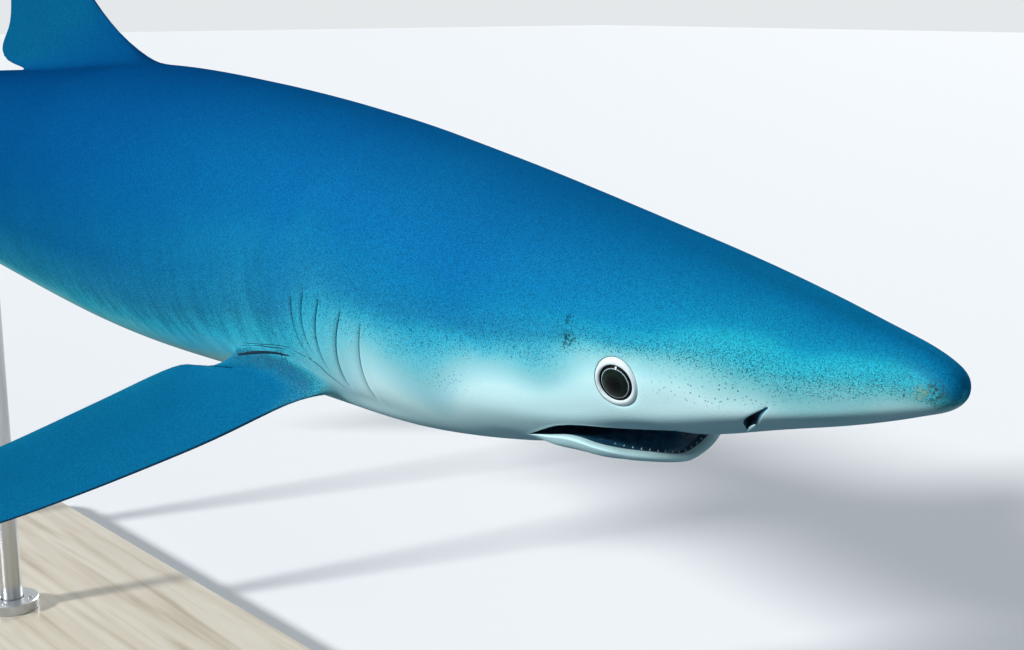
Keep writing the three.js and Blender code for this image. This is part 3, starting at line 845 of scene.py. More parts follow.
# Rolls the lip inwards, then closes the palate or the floor from the right side to the left.
def lineMouth(lipVerts, onJaw, folds, swell):
    lip = lipPlaces(lipKeys, onJaw)
    inward = np.hstack([towardsMiddle(lip), np.zeros((len(lip), 1))])
    fade = smoothStep(1 - np.abs(np.linspace(-1, 1, len(lip))), 0, mouth["foldsFrom"])[:, None]
    atSide, atFront = mouth["lowFold"] if onJaw else (1, 1)
    tall = lerp(atSide, atFront, smoothStep(lip[:, 0], *mouth["foldsLower"]))
    line = [lipVerts[key] for key in lipKeys]
    made = [line[0], line[-1]]
    for inset, rise, material in folds:
        spots = lip + fade * (inward * inset + np.outer(tall, [0, 0, rise]))
        line = extrudeLine(line, place(*spots.T), False, mouthMaterial if material else 0)
        made += line
    middle = len(line) // 2
    rightLine, leftLine = line[middle::-1], line[middle:]
    back = np.linspace(0, 1, middle + 1)
    # the palate and the floor are arches that end level at the lips
    for q in mouth["across"]:
        row = lerp(spots[middle::-1], spots[middle:], q)
        row[:, 2] += swell * (1 - abs(1 - 2 * q) ** 4) * (1 - (1 - back) ** 4) * (1 - back**9)
        rightLine = extrudeLine(rightLine, place(*row.T), False, mouthMaterial)
        made += rightLine
    return made + extrudeLine(rightLine, [vert.co for vert in leftLine], False, mouthMaterial) + leftLine


upperLip, lowerLip = openMouth()
lining = lineMouth(upperLip, False, mouth["upperFolds"], mouth["palateRise"])
lining += lineMouth(lowerLip, True, mouth["lowerFolds"], -mouth["floorDrop"])
bmesh.ops.remove_doubles(skin, verts=list(set(lining)), dist=1e-5)
print("mouth made")

# Eye sockets
eyeBalls = {}  # name: centre and outward direction
for side, name in ((1, "eye_left"), (-1, "eye_right")):
    low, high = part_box(name)
    turns = rimTurns(*eyeBlock(side))
    outward, forward, upward = skinAxes(eye["at"], eye["angle"], side)
    centre = np.array((low + high) / 2)
    eyeBalls[name] = (centre, outward)
    loop = openBlock(eyeBlock(side))
    for radius, lift in eye["lid"][1:]:
        spots = skinPoint(*circleOnSkin(side, radius, turns), side) + outward * lift * millimetre
        loop = extrudeLine(loop, spots, True, 0 if lift < 0 else lidMaterial)
        # the ring in the groove takes painted shade
        for vert in loop:
            vert[shadeLayer] = eye["groove"] if lift < 0 else 0.0
    rim = np.cos(turns)[:, None] * forward - np.sin(turns)[:, None] * upward
    for material, rings in ((lidMaterial, eye["lidEdge"]), (socketShadeMaterial, eye["socket"])):
        for degrees, clearance in rings:
            tilt = math.radians(degrees)
            reach = (eye["radius"] + clearance) * millimetre
            spots = centre + reach * (math.cos(tilt) * outward + math.sin(tilt) * rim)
            loop = extrudeLine(loop, spots, True, material)
    closeLoop(loop, socketShadeMaterial)

# Nostrils
for side in (1, -1):
    block = nostrilBlock(side)
    outward = skinAxes(*nostril["middle"], side)[0]
    rim = skinPoint(*nostrilOutline(rimTurns(*block)), side)
    loop = openBlock(block)
    for shrink, depth, material in nostril["pit"]:
        spots = lerp(rim.mean(0), rim, shrink) - outward * depth * millimetre
        loop = extrudeLine(loop, spots, True, material)
    closeLoop(loop, socketShadeMaterial)


finTones = {
    "paired": (2.45, 1.95),  # above, at the leading and the trailing edge
    "under": 0.35,
    "anal": 1.2,
    "middle": (2.4, 2.8),  # at the root and the tip
    "turnsPale": (0.05, 0.4),  # sines of the turn over which a paired fin grows pale below
    # share of a fin's own tone at the top of its foot, then added by each row
    "takesOver": (0.4, 0.3),
    "ownShare": (0.6, 2.6),  # how soon that comes in at the leading and the trailing edge
    "darkEdge": 0.02,  # share of the section's length that is dark at the leading edge
}


# Tones a loop of a growing fin, from the tones at its root to the fin's own.
def paintFin(name, loop, turns, rootTones, share, span):
    for vert, turn, tone in zip(loop, turns, rootTones):
        chord = (1 - math.cos(turn)) / 2
        own = finTones["anal"] if name == "anal" else lerp(*finTones["middle"], span)
        if "turns" in fins[name]:
            below = smoothStep(math.sin(turn), *finTones["turnsPale"])
            own = lerp(lerp(*finTones["paired"], chord**3), finTones["under"], below)
        # the body's colour reaches furthest along the leading edge
        ownShare = min(1.0, share * lerp(*finTones["ownShare"], chord**0.5))
        vert[toneLayer] = lerp(tone, own, ownShare)
        vert[finLayer] = ownShare
        vert[shadeLayer] = max(0.0, 1 - chord / finTones["darkEdge"]) * ownShare


def growFin(name, side, block):
    fin = fins[name]
    turns = rimTurns(*block)
    loop = openBlock(block)
    rootTones = [vert[toneLayer] for vert in loop]
    sides = side if "turns" in fin else np.array([columnSide[key[1]] for key in blockRim(*block)])
    bare = skinPoint(*finRoot(name, turns, 0.0), sides)
    flared = np.array([vert.co for vert in loop])
    first = finLoop(name, side, fin["firstRow"], turns)
    own, more = finTones["takesOver"]
    for w in finShape["foot"]:
        loop = extrudeLine(loop, flared * (1 - w) ** 2 + bare * 2 * w * (1 - w) + first * w * w)
        paintFin(name, loop, turns, rootTones, w * own, 0)
    for row in range(fin["rows"]):
        span = 1 - (1 - row / (fin["rows"] - 1)) ** finShape["spacing"]
        loop = extrudeLine(loop, finLoop(name, side, lerp(fin["firstRow"], 1, span), turns))
        paintFin(name, loop, turns, rootTones, own + row * more, span)
    # the tip closes on its own middle line
    start = int(np.argmin(1 - np.cos(turns)))
    fold = {}
    for k in range(1, len(loop) // 2):
        a, b = loop[(start + k) % len(loop)], loop[start - k]
        fold[b] = a
        a.co = (a.co + b.co) / 2
    bmesh.ops.weld_verts(skin, targetmap=fold)


for name in fins:
    for side, block in finBlocks(name).items():
        growFin(name, side, block)
print("fins grown:", len(skin.verts), "points")


# Puts a mesh into the scene with its materials.
def addObject(name, mesh, materials, smooth=True):
    if smooth:
        bmesh.ops.recalc_face_normals(mesh, faces=mesh.faces)
        for face in mesh.faces:
            face.smooth = True
    data = bpy.data.meshes.new(name)
    mesh.to_mesh(data)
    mesh.free()
    for material in materials:
        data.materials.append(material)
    made = bpy.data.objects.new(name, data)
    bpy.context.scene.collection.objects.link(made)
    return made


# Makes a piece of the model, which may stand for CAD nodes.
def newPiece(name, mesh, material, replaced):
    piece = addObject(name, mesh, [material])
    if replaced:
        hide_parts(*replaced)
    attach(piece, "root")


# Turns a hex colour to linear light.
def paint(code):
    channels = [int(code[k : k + 2], 16) / 255 for k in (1, 3, 5)]
    linear = [c / 12.92 if c <= 0.04045 else ((c + 0.055) / 1.055) ** 2.4 for c in channels]
    return (*linear, 1.0)


# Adds a node. Sockets holds plain values and other nodes' outputs.
def addNode(tree, kind, sockets=None, **settings):
    node = tree.nodes.new("ShaderNode" + kind)
    for name, value in settings.items():
        setattr(node, name, value)
    for key, value in (sockets or {}).items():
        if isinstance(value, bpy.types.NodeSocket):
            tree.links.new(value, node.inputs[key])
        else:
            node.inputs[key].default_value = value
    return node


def addMath(tree, operation, *values):
    return addNode(tree, "Math", dict(enumerate(values)), operation=operation).outputs[0]


def addNoise(tree, vector, scale, detail):
    return addNode(tree, "TexNoise", {"Vector": vector, "Scale": scale, "Detail": detail}).outputs


def addRamp(tree, value, stops):
    node = addNode(tree, "ValToRGB", {0: value})
    elements = node.color_ramp.elements
    while len(elements) < len(stops):
        elements.new(0.5)
    for element, (stop, colour) in zip(elements, stops):
        element.position = stop
        element.color = paint(colour) if isinstance(colour, str) else (colour, colour, colour, 1)
    return node.outputs[0]


def addBump(tree, shader, height, strength, size):
    bump = addNode(tree, "Bump", {"Height": height, "Strength": strength, "Distance": size * millimetre})
    tree.links.new(bump.outputs[0], shader.inputs["Normal"])


def newMaterial(name, finish):
    material = bpy.data.materials.new(name)
    material.use_nodes = True
    tree = material.node_tree
    tree.nodes.clear()
    shader = addNode(tree, "BsdfPrincipled", finish)
    addNode(tree, "OutputMaterial", {"Surface": shader.outputs[0]})
    coords = addNode(tree, "TexCoord").outputs["Object"]
    return material, tree, shader, coords


def perMetre(size):
    return 1 / (size * millimetre)


# Painted fibreglass with the look of shark hide: satin, with the fine grain of skin teeth and dark
# specks that crowd along the lower edge of the blue.
def sharkHide():
    hide = {
        "speck": 0.75,  # millimetres, as are all sizes here
        "grain": 0.65,
        "blotch": 2.6,
        "mottle": 60,
        "fleck": 0.9,
        "band": (8, 20, 60),  # length, depth and height of the flank's dim bands
        "pore": 2.5,
        "skinTooth": 0.4,  # height of the grain
        "stain": 1.8,
        # worn and stained spots: distance, angle, reach and colour
        "scuffs": [
            (0.34, 6, 9, "#36443A"), (0.6, 2, 6, "#84A48C"), (9.6, 8, 9, "#10303E"),
            (9.7, 18, 5, "#10303E"), (22.9, -31, 9, "#0C4468"),
        ],
    }
    material, tree, shader, coords = newMaterial(
        "sharkHide", {"Roughness": 0.6, "Specular IOR Level": 0.0}
    )
    tone, fin, pore, shade = (
        addNode(tree, "Attribute", attribute_name=name).outputs["Fac"]
        for name in ("tone", "fin", "pore", "shade")
    )
    along = addNode(tree, "SeparateXYZ", {0: coords}).outputs[0]
    bodyShare = addNode(tree, "MapRange", {0: along, 1: -1.1, 2: 1.1}).outputs[0]
    calc, ramp = partial(addMath, tree), partial(addRamp, tree)
    times, plus = partial(calc, "MULTIPLY"), partial(calc, "ADD")

    def noise(size, detail=2.0):
        return calc("SUBTRACT", addNoise(tree, coords, perMetre(size), detail)["Fac"], 0.5)

    def mix(share, a, b, kind="MIX"):
        b = paint(b) if isinstance(b, str) else b
        node = addNode(tree, "Mix", {0: share, 6: a, 7: b}, data_type="RGBA", blend_type=kind)
        return node.outputs[2]

    def toned(value, stops):
        return times(value, ramp(third, stops))

    def tint(share, a, b):
        return mix(share, a, mix(1.0, a, b, "MULTIPLY"))

    third = times(tone, 1 / 3)
    grain = noise(hide["grain"], 1.0)
    # the tone wavers a little before it becomes a colour
    waver = plus(times(noise(hide["mottle"], 3.0), 0.2), times(grain, 0.3))
    waver = toned(waver, [(0.02, 0.0), (0.3, 1.0), (0.6, 0.7), (1, 0.4)])
    level = plus(third, waver)
    trunk = ramp(level, [
        (0.0, "#CFF8FA"), (0.1, "#ACE4EC"), (0.2, "#86CCD6"), (0.27, "#5AC4D8"), (0.34, "#2CACCE"),
        (0.42, "#1C82B2"), (0.55, "#1078AC"), (0.74, "#0E6DA8"), (1.0, "#08629A"),
    ])
    teal = ramp(level, [
        (0.0, "#D0F8F9"), (0.1, "#B6E8EA"), (0.2, "#94D2D6"), (0.27, "#78C4CA"), (0.34, "#56B8C2"),
        (0.42, "#38B4C8"), (0.6, "#22AAC4"), (0.7, "#148EB6"), (0.92, "#0B78AA"), (1.0, "#0A6E9C"),
    ])
    tealShare = ramp(bodyShare, [
        (0.0, 0.4), (0.76, 0.5), (0.81, 0.1), (0.86, 0.0), (0.905, 0.4), (0.95, 0.95), (1.0, 1.0),
    ])
    colour = mix(tealShare, trunk, teal)
    # painted shade: the trunk darkens from the fins back, as the light falls off toward the tail
    paintedFalloff = ramp(bodyShare, [
        (0.0, "#8CA2BC"), (0.6, "#82A4C4"), (0.67, "#98B4D4"), (0.73, "#BCCCE4"), (0.78, "#D8DEF2"),
        (0.83, "#FFFFFF"),
    ])
    onTrunk = calc("SUBTRACT", 1.0, times(fin, 0.5))
    colour = tint(toned(onTrunk, [(0.3, 0.0), (0.55, 1.0)]), colour, paintedFalloff)
    colour = tint(toned(fin, [(0.35, 0.0), (0.55, 1.0)]), colour, "#F0F4E6")
    # painted light: the low flank over the belly is lifted to a bright cyan where the lamps leave it dim
    clear = ramp(bodyShare, [(0.58, 0.0), (0.7, 0.5), (0.77, 0.5), (0.81, 0.0)])
    clear = toned(clear, [(0.1, 0.0), (0.22, 1.0), (0.34, 1.0), (0.42, 0.0)])
    colour = mix(clear, colour, "#2AD6F2")
    # dim upright bands low on the flank, behind the gills
    stretch = tuple(perMetre(size) for size in hide["band"])
    stretched = addNode(tree, "Mapping", {0: coords, 3: stretch}).outputs[0]
    bands = calc("SUBTRACT", addNoise(tree, stretched, 1.0, 2.0)["Fac"], 0.5)
    bands = ramp(plus(bands, 0.5), [(0.42, 0.0), (0.66, 0.38)])
    behindGills = ramp(bodyShare, [(0.1, 0.3), (0.6, 0.8), (0.77, 1.0), (0.8, 0.0)])
    lowFlank = ramp(third, [(0.16, 0.0), (0.35, 1.0), (0.5, 0.8), (0.7, 0.0)])
    colour = mix(times(times(bands, behindGills), lowFlank), colour, "#0D5C80")
    # grain lightens and darkens all that is blue
    grained = plus(times(grain, 1.9), times(noise(hide["blotch"], 1.0), 0.3))
    bright = plus(toned(grained, [(0.1, 0.06), (0.4, 0.9)]), 1.0)
    brightness = addNode(tree, "CombineColor", {0: bright, 1: bright, 2: bright}).outputs[0]
    colour = mix(1.0, colour, brightness, "MULTIPLY")
    # dark specks: a few below the edge of the blue, crowded along it, faint above
    crowd = ramp(third, [(0.1, 0.0), (0.17, 0.3), (0.28, 0.47), (0.38, 0.52), (0.6, 0.49), (1, 0.46)])
    # most of all round the roots of the paired fins
    atRoot = ramp(fin, [(0.02, 0.0), (0.25, 1.0), (0.5, 1.0), (0.9, 0.0)])
    atRoot = toned(atRoot, [(0.62, 1.0), (0.75, 0.0)])
    crowd = plus(crowd, times(atRoot, 0.06))
    # and fewer under the flank behind the gills
    bareFlank = ramp(bodyShare, [(0.75, 0.12), (0.79, 0.0)])
    bareFlank = toned(bareFlank, [(0.22, 1.0), (0.36, 0.0)])
    crowd = calc("SUBTRACT", crowd, times(bareFlank, calc("SUBTRACT", 1.0, fin)))
    specks = plus(noise(hide["speck"], 1.0), crowd)
    speckShare = ramp(specks, [(0.5, 0.0), (0.64, 1.0)])
    speckDepth = ramp(third, [(0.1, 0.85), (0.3, 0.8), (0.42, 0.68), (0.6, 0.52), (1, 0.45)])
    colour = mix(times(speckShare, speckDepth), colour, "#0B4560")
    # pores beside the snout and behind the eye
    cell = addNode(tree, "TexVoronoi", {"Vector": coords, "Scale": perMetre(hide["pore"])})
    dots = times(ramp(cell.outputs["Distance"], [(0.15, 1.0), (0.25, 0.0)]), pore)
    colour = mix(dots, colour, "#17414F")
    # an ochre cast at the tip of the snout and round the roots of the fins
    cast = ramp(bodyShare, [(0.985, 0.0), (0.999, 0.14)])
    cast = toned(cast, [(0.1, 0.0), (0.3, 1.0), (0.6, 0.8), (0.8, 0.0)])
    flecks = ramp(plus(noise(hide["fleck"]), 0.5), [(0.52, 0.0), (0.66, 0.22)])
    colour = mix(plus(cast, times(atRoot, flecks)), colour, "#8C9672")
    worn = 0.0
    for at, angle, reach, stain in hide["scuffs"]:
        spot = tuple(skinPoint(at, angle, -1).tolist())
        distance = addNode(tree, "VectorMath", {0: coords, 1: spot}, operation="DISTANCE").outputs["Value"]
        around = ramp(times(distance, perMetre(reach)), [(0.25, 1.0), (0.9, 0.0)])
        patch = times(around, ramp(plus(noise(hide["stain"]), 0.5), [(0.46, 0.0), (0.56, 0.85)]))
        colour = mix(patch, colour, stain)
        worn = calc("MAXIMUM", worn, patch)
    # painted shade: dark in the gill slits and in the groove round the lid; the same mix draws the dark
    # line along each fin's leading edge
    colour = mix(ramp(shade, [(0.2, 0.0), (0.55, 1.0)]), colour, "#0C2E45")
    tree.links.new(colour, shader.inputs["Base Color"])
    tree.links.new(plus(times(grained, 0.2), 0.58), shader.inputs["Roughness"])
    addBump(tree, shader, calc("SUBTRACT", grain, times(worn, 0.5)), 0.5, hide["skinTooth"])
    return material


# A plain finish whose colour wavers between two tones over patches of one size.
def waveringFinish(name, pale, dark, size, finish, bump=0.0):
    material, tree, shader, coords = newMaterial(name, finish)
    patches = addNoise(tree, coords, perMetre(size), 3.0)[0]
    blend = addRamp(tree, patches, [(0.35, dark), (0.65, pale)])
    tree.links.new(blend, shader.inputs["Base Color"])
    if bump:
        addBump(tree, shader, patches, 0.6, bump)
    return material


# White lid skin: pale, smooth and a little moist. Mouth lining: wet and softly wrinkled, its dark
# blue-grey a painted shade of the mouth's inside, where the real lining is paler.
moist = {"Roughness": 0.4, "Specular IOR Level": 0.3}
lidSkin = waveringFinish("lidSkin", "#E2EFF0", "#D4E6EA", 3, moist, 0.1)
mouthLiningShade = waveringFinish("mouthLiningShade", "#2E6A8A", "#1A4560", 4, moist, 0.4)
# Lining of the sockets and nostrils: nearly black and dull, painted shade of the deep recesses
socketLiningShade = waveringFinish("socketLiningShade", "#0B2230", "#06141E", 3, {"Roughness": 0.5})
hideMaterial = sharkHide()
sharkSkin = addObject("sharkSkin", skin, [hideMaterial, lidSkin, mouthLiningShade, socketLiningShade])
finer = sharkSkin.modifiers.new("finer", "SUBSURF")
finer.levels = 1
finer.render_levels = 1
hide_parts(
    "snout", "head", "lower_jaw", "gills", "trunk_front", "trunk_middle", "trunk_rear",
    "tail_stem", "pectoral_left", "pectoral_right", "pelvic_left", "pelvic_right",
    "dorsal_first_fin", "dorsal_second_fin", "anal_fin", "tail_upper", "tail_lower",
)
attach(sharkSkin, "root")
print("skin finished")

# Small folds of skin
# Each is a spindle along a line on the skin, half sunk in it: dark ones are strips of painted shadow in
# the creases.
folds = {
    "tone": 0.95,  # how blue the pale ones are, as on the skin
    "lines": [  # points (distance, angle) on the skin, width, height in mm, and whether it is a dark strip of painted shadow
        ([(20.0, -39), (20.5, -33), (20.95, -28), (22.1, -25)], 1.0, 0.25, True),
        ([(22.3, -29.5), (23.4, -31), (24.8, -35), (26.2, -41)], 2.8, 0.3, True),
        ([(22.3, -26), (23.3, -28), (24.4, -30), (25.6, -34)], 0.7, 0.25, True),
        ([(21.9, -24.2), (23, -26), (24.1, -28.6), (25.2, -31)], 0.6, 0.25, True),
        ([(22.6, -27.6), (23.5, -29.4), (24.6, -31.6), (25.7, -35.4)], 0.7, 0.4, False),
        ([(22.4, -25.2), (23.2, -27.2), (24.2, -29.3), (25.2, -32.4)], 0.6, 0.35, False),
    ],
    "samples": 13,  # points that each line is laid on the skin at
}
surface = BVHTree.FromObject(sharkSkin, bpy.context.evaluated_depsgraph_get())


# Bends a ball into a spindle between two edge lines, in metres, that share their outward directions.
def spindle(mesh, edgeA, edgeB, outwards, height):
    lineA, lineB, lineOut = evenCurve(edgeA), evenCurve(edgeB), evenCurve(outwards)
    made = bmesh.ops.create_uvsphere(mesh, u_segments=10, v_segments=36, radius=1)["verts"]
    for vert in made:
        t, across, high = (vert.co.z + 1) / 2, (vert.co.x + 1) / 2, vert.co.y
        vert.co = lerp(lineA(t), lineB(t), across) + lineOut(t) * high * height * millimetre
    return made


def skinFolds(dark):
    mesh = bmesh.new()
    toneOfFold = mesh.verts.layers.float.new("tone")
    for side in (1, -1):
        for points, width, height, isShadowStrip in folds["lines"]:
            if isShadowStrip != dark:
                continue
            at, angle = evenCurve(points)(np.linspace(0, 1, folds["samples"])).T
            found = [surface.find_nearest(spot)[:2] for spot in skinPoint(at, angle, side)]
            spots, outwards = np.array([near[0] for near in found]), np.array([near[1] for near in found])
            aside = unit(np.cross(np.gradient(spots, axis=0), outwards)) * width / 2 * millimetre
            for vert in spindle(mesh, spots - aside, spots + aside, outwards, height):
                vert[toneOfFold] = folds["tone"]
        if not dark:
            outward = skinAxes(*nostril["flapFacing"], side)[0]
            lift = outward * nostril["flapLift"] * millimetre
            upper, lower = (skinPoint(*np.array(edge).T, side) + lift for edge in nostril["flapEdges"])
            spindle(mesh, upper, lower, [outward] * 3, nostril["flapThick"])
    return mesh


# Matt dark blue paint that reads as shadow in the creases
matt = {"Roughness": 0.7, "Specular IOR Level": 0.2}
creaseShadowPaint = waveringFinish("creaseShadowPaint", "#0A3244", "#06202E", 3, matt)
newPiece("paintedCreaseShadows", skinFolds(True), creaseShadowPaint, [])
newPiece("skinFolds", skinFolds(False), hideMaterial, [])
print("folds laid")


# Glass eyes, painted from behind: a nearly black green iris with a silver edge
def eyeGlass():
    material, tree, shader, coords = newMaterial("eyeGlass", {
        "Roughness": 0.4, "Specular IOR Level": 0.02, "Coat Weight": 0.6, "Coat Roughness": 0.02,
        "Coat IOR": 1.2,
    })
    axis = addNode(tree, "Attribute", attribute_name="offAxis").outputs["Fac"]
    fibres = addNoise(tree, coords, perMetre(1.4), 3.0)[0]
    wander = addMath(tree, "MULTIPLY_ADD", fibres, 0.03, -0.015)
    rings = addRamp(tree, addMath(tree, "ADD", axis, wander), [
        (0.0, "#030607"), (0.26, "#040908"), (0.36, "#0C1C16"), (0.5, "#0A1814"),
        (0.522, "#06090A"), (0.53, "#8FA8B2"), (0.547, "#A9C0C8"), (0.556, "#06090B"), (1.0, "#05080A"),
    ])
    tree.links.new(rings, shader.inputs["Base Color"])
    return material


eyeMaterial = eyeGlass()
for name, (centre, outward) in eyeBalls.items():
    ball = bmesh.new()
    offAxis = ball.verts.layers.float.new("offAxis")
    radius = eye["radius"] * millimetre
    bmesh.ops.create_uvsphere(ball, u_segments=64, v_segments=48, radius=radius)
    for vert in ball.verts:
        vert[offAxis] = math.hypot(vert.co.x, vert.co.y) / radius if vert.co.z > 0 else 1.0
    turn = Vector((0, 0, 1)).rotation_difference(Vector(outward)).to_matrix().to_4x4()
    bmesh.ops.transform(ball, matrix=Matrix.Translation(Vector(centre)) @ turn, verts=ball.verts)
    newPiece("eyeball" + name[4:].title(), ball, eyeMaterial, [name])
print("eyes made")

# Small teeth stand on the front of the lower jaw
teeth = {
    "perSide": 9,
    "height": 2.2,  # millimetres
    "width": 1.9,
    "thick": 1.1,
    "point": 0.05,  # width of a tip, as a share
    "rearmost": 0.6,  # size of the rearmost tooth, as a share of the front one's
    "shown": 0.3,  # how far a tooth's middle stands over the fold, in tooth heights
    "fold": (0.3, 0.19),  # percent in from the lip and up
    "lean": 14,  # degrees towards the throat
    "reach": 0.42,  # share of the lip's length that bears teeth
}


def addCone(mesh, segments, lowRadius, highRadius, height):
    return bmesh.ops.create_cone(
        mesh, cap_ends=True, segments=segments, radius1=lowRadius, radius2=highRadius, depth=height
    )["verts"]


def makeTeeth():
    mesh = bmesh.new()
    lip = lipPlaces(lipRight, True)
    inset, rise = teeth["fold"]
    lip[:, :2] += inset * towardsMiddle(lip)
    lip[:, 2] += rise
    middle = place(*mouth["middle"], lip[0, 2])
    squash = Matrix.Scale(teeth["thick"] / teeth["width"], 4, (0, 1, 0))
    tilt = Matrix.Rotation(math.radians(-teeth["lean"]), 4, "X")
    for side in (1, -1):
        points = place(lip[:, 0], lip[:, 1] * -side, lip[:, 2])
        length = lengthAlong(points)
        gum = curveThrough(length, points)
        for k in range(teeth["perSide"]):
            share = (k + 0.5) / teeth["perSide"]
            at = share * length[-1] * teeth["reach"]
            along = unit(gum(at + 0.001) - gum(at - 0.001))
            inward = middle - gum(at)
            inward = unit(inward - (inward @ along) * along)
            up = np.cross(along, inward)
            scale = lerp(1.0, teeth["rearmost"], share) * millimetre
            height, width = teeth["height"] * scale, teeth["width"] * scale
            made = addCone(mesh, 8, width / 2, width / 2 * teeth["point"], height)
            bmesh.ops.translate(mesh, verts=made, vec=(0, 0, height * teeth["shown"]))
            turn = Matrix((along, inward, up * np.sign(up[2]))).transposed().to_4x4()
            move = Matrix.Translation(Vector(gum(at)))
            bmesh.ops.transform(mesh, matrix=move @ turn @ tilt @ squash, verts=made)
    return mesh


# Tooth enamel, glossy, so that the points catch the light; greyed below its real off-white as painted
# shade inside the mouth
toothMaterial = waveringFinish("toothEnamelShaded", "#AEB2A8", "#868E86", 2, {"Roughness": 0.22})
newPiece("lowerTeeth", makeTeeth(), toothMaterial, [])
print("teeth set")

# The stand: a lacquered board, two brushed rods and a screwed flange round the foot of each
stand = {  # millimetres
    "corner": 60,
    "edge": 3,
    "rodRadius": 12,
    "rodEdge": 0.8,
    "flangeEdge": 1.2,
    "flangeGap": 0.3,
    "screwCircle": 21.5,
    "screwRadius": 3.4,
    "screwHeight": 3,
    "screwSunk": 0.8,  # how far its middle lies under the flange's top
    "screwRim": (0.12, 0.4),  # widths of its rim's two rings, as shares of its radius
    "socketDepth": 2,
    "sharp": 40,  # degrees from which an edge stays sharp
}


# Pale ash board under satin lacquer: long straight grain, darker streaks and fine pores
def lacqueredAsh():
    material, tree, shader, coords = newMaterial(
        "lacqueredAsh", {"Roughness": 0.38, "Coat Weight": 0.3, "Coat Roughness": 0.25}
    )
    stretched = addNode(tree, "Mapping", {0: coords, 3: (3.2, 60, 60)}).outputs[0]
    warp = addNoise(tree, coords, 4.0, 2.0)[1]
    bent = addNode(tree, "MixRGB", {0: 0.5, 1: stretched, 2: warp}, blend_type="ADD").outputs[0]
    streaks = addNoise(tree, bent, 1.0, 5.0)[0]
    tones = [(0.3, "#B3A48C"), (0.45, "#CDC1AB"), (0.62, "#DAD1BF"), (0.8, "#C3B69E")]
    wood = addRamp(tree, streaks, tones)
    tree.links.new(wood, shader.inputs["Base Color"])
    pores = addNode(tree, "Mapping", {0: coords, 3: (60, 1400, 1400)}).outputs[0]
    addBump(tree, shader, addNoise(tree, pores, 1.0, 1.0)[0], 0.25, 0.3)
    return material


# Stainless steel, brushed along the rods: satin, with fine upright scratches
def brushedSteel():
    material, tree, shader, coords = newMaterial("brushedSteel", {"Metallic": 1.0, "Roughness": 0.32})
    shader.inputs["Base Color"].default_value = paint("#B9BCBE")
    stretched = addNode(tree, "Mapping", {0: coords, 3: (1800, 1800, 25)}).outputs[0]
    lines = addNoise(tree, stretched, 1.0, 2.0)[0]
    tree.links.new(addMath(tree, "MULTIPLY_ADD", lines, 0.25, 0.2), shader.inputs["Roughness"])
    addBump(tree, shader, lines, 0.3, 0.1)
    return material


# Bevels the mesh's level edges or its upright ones.
def bevelEdges(mesh, upright, offset, segments):
    edges = [e for e in mesh.edges if (abs(e.verts[0].co.z - e.verts[1].co.z) > millimetre) == upright]
    bmesh.ops.bevel(
        mesh, geom=edges, offset=offset * millimetre, segments=segments, profile=0.5, affect="EDGES",
        material=-1,
    )


def standBoard(low, high):
    board = bmesh.new()
    bmesh.ops.create_cube(board, size=1)
    bmesh.ops.scale(board, vec=high - low, verts=board.verts)
    bevelEdges(board, True, stand["corner"], 16)
    bevelEdges(board, False, stand["edge"], 4)
    bmesh.ops.translate(board, vec=(low + high) / 2, verts=board.verts)
    return board


def standRod(low, high):
    rod = bmesh.new()
    radius = stand["rodRadius"] * millimetre
    addCone(rod, 64, radius, radius, high.z - low.z)
    bevelEdges(rod, False, stand["rodEdge"], 2)
    bmesh.ops.translate(rod, vec=(low + high) / 2, verts=rod.verts)
    return rod


def standFlange(low, high):
    flange = bmesh.new()
    lip, bore, screwRadius, screwHeight, sunk = (
        size * millimetre
        for size in (
            stand["flangeEdge"], stand["rodRadius"] + stand["flangeGap"], stand["screwRadius"],
            stand["screwHeight"], stand["screwSunk"],
        )
    )
    radius, height = (high.x - low.x) / 2, high.z - low.z
    # a section spun round makes the ring, with a chamfered edge and a bore for the rod
    section = [
        (bore, 0), (radius, 0), (radius, height - lip), (radius - lip, height), (bore + lip, height),
        (bore, height - lip),
    ]
    verts = [flange.verts.new((x, 0, z)) for x, z in section]
    edges = [flange.edges.new(pair) for pair in zip(verts, verts[1:] + verts[:1])]
    bmesh.ops.spin(
        flange, geom=verts + edges, cent=(0, 0, 0), axis=(0, 0, 1), angle=2 * math.pi, steps=96,
        use_merge=True, use_duplicate=False,
    )
    bmesh.ops.remove_doubles(flange, verts=flange.verts, dist=1e-6)
    for k in range(4):
        turn = math.pi / 4 + k * math.pi / 2
        spot = Vector((math.cos(turn), math.sin(turn), 0)) * stand["screwCircle"] * millimetre
        made = addCone(flange, 32, screwRadius, screwRadius, screwHeight)
        top = [f for f in {f for v in made for f in v.link_faces} if f.normal.z > 0.9]
        for share in stand["screwRim"]:
            bmesh.ops.inset_region(flange, faces=top, thickness=screwRadius * share)
        socket = bmesh.ops.extrude_face_region(flange, geom=top)["geom"]
        bmesh.ops.delete(flange, geom=top, context="FACES")
        deep = [item for item in socket if isinstance(item, bmesh.types.BMVert)]
        bmesh.ops.translate(flange, vec=(0, 0, -stand["socketDepth"] * millimetre), verts=deep)
        screw = [v for v in flange.verts if v.co.xy.length < screwRadius * 1.01]
        bmesh.ops.translate(flange, vec=(spot.x, spot.y, height - sunk), verts=screw)
    middle = (low + high) / 2
    bmesh.ops.translate(flange, vec=(middle.x, middle.y, low.z), verts=flange.verts)
    return flange


steel = brushedSteel()
low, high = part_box("stand_base")
newPiece("standBoard", standBoard(low, high), lacqueredAsh(), ["stand_base"])
for where in ("front", "rear"):
    low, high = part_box("stand_rod_" + where)
    newPiece("standRod" + where.title(), standRod(low, high), steel, ["stand_rod_" + where])
    low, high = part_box("stand_collar_" + where)
    flange = standFlange(low, high)
    newPiece("standFlange" + where.title(), flange, steel, ["stand_collar_" + where])
for piece in bpy.context.scene.objects:
    if piece.name.startswith("stand") and not piece.hide_render:
        piece.modifiers.new("edges", "EDGE_SPLIT").split_angle = math.radians(stand["sharp"])
print("stand made")

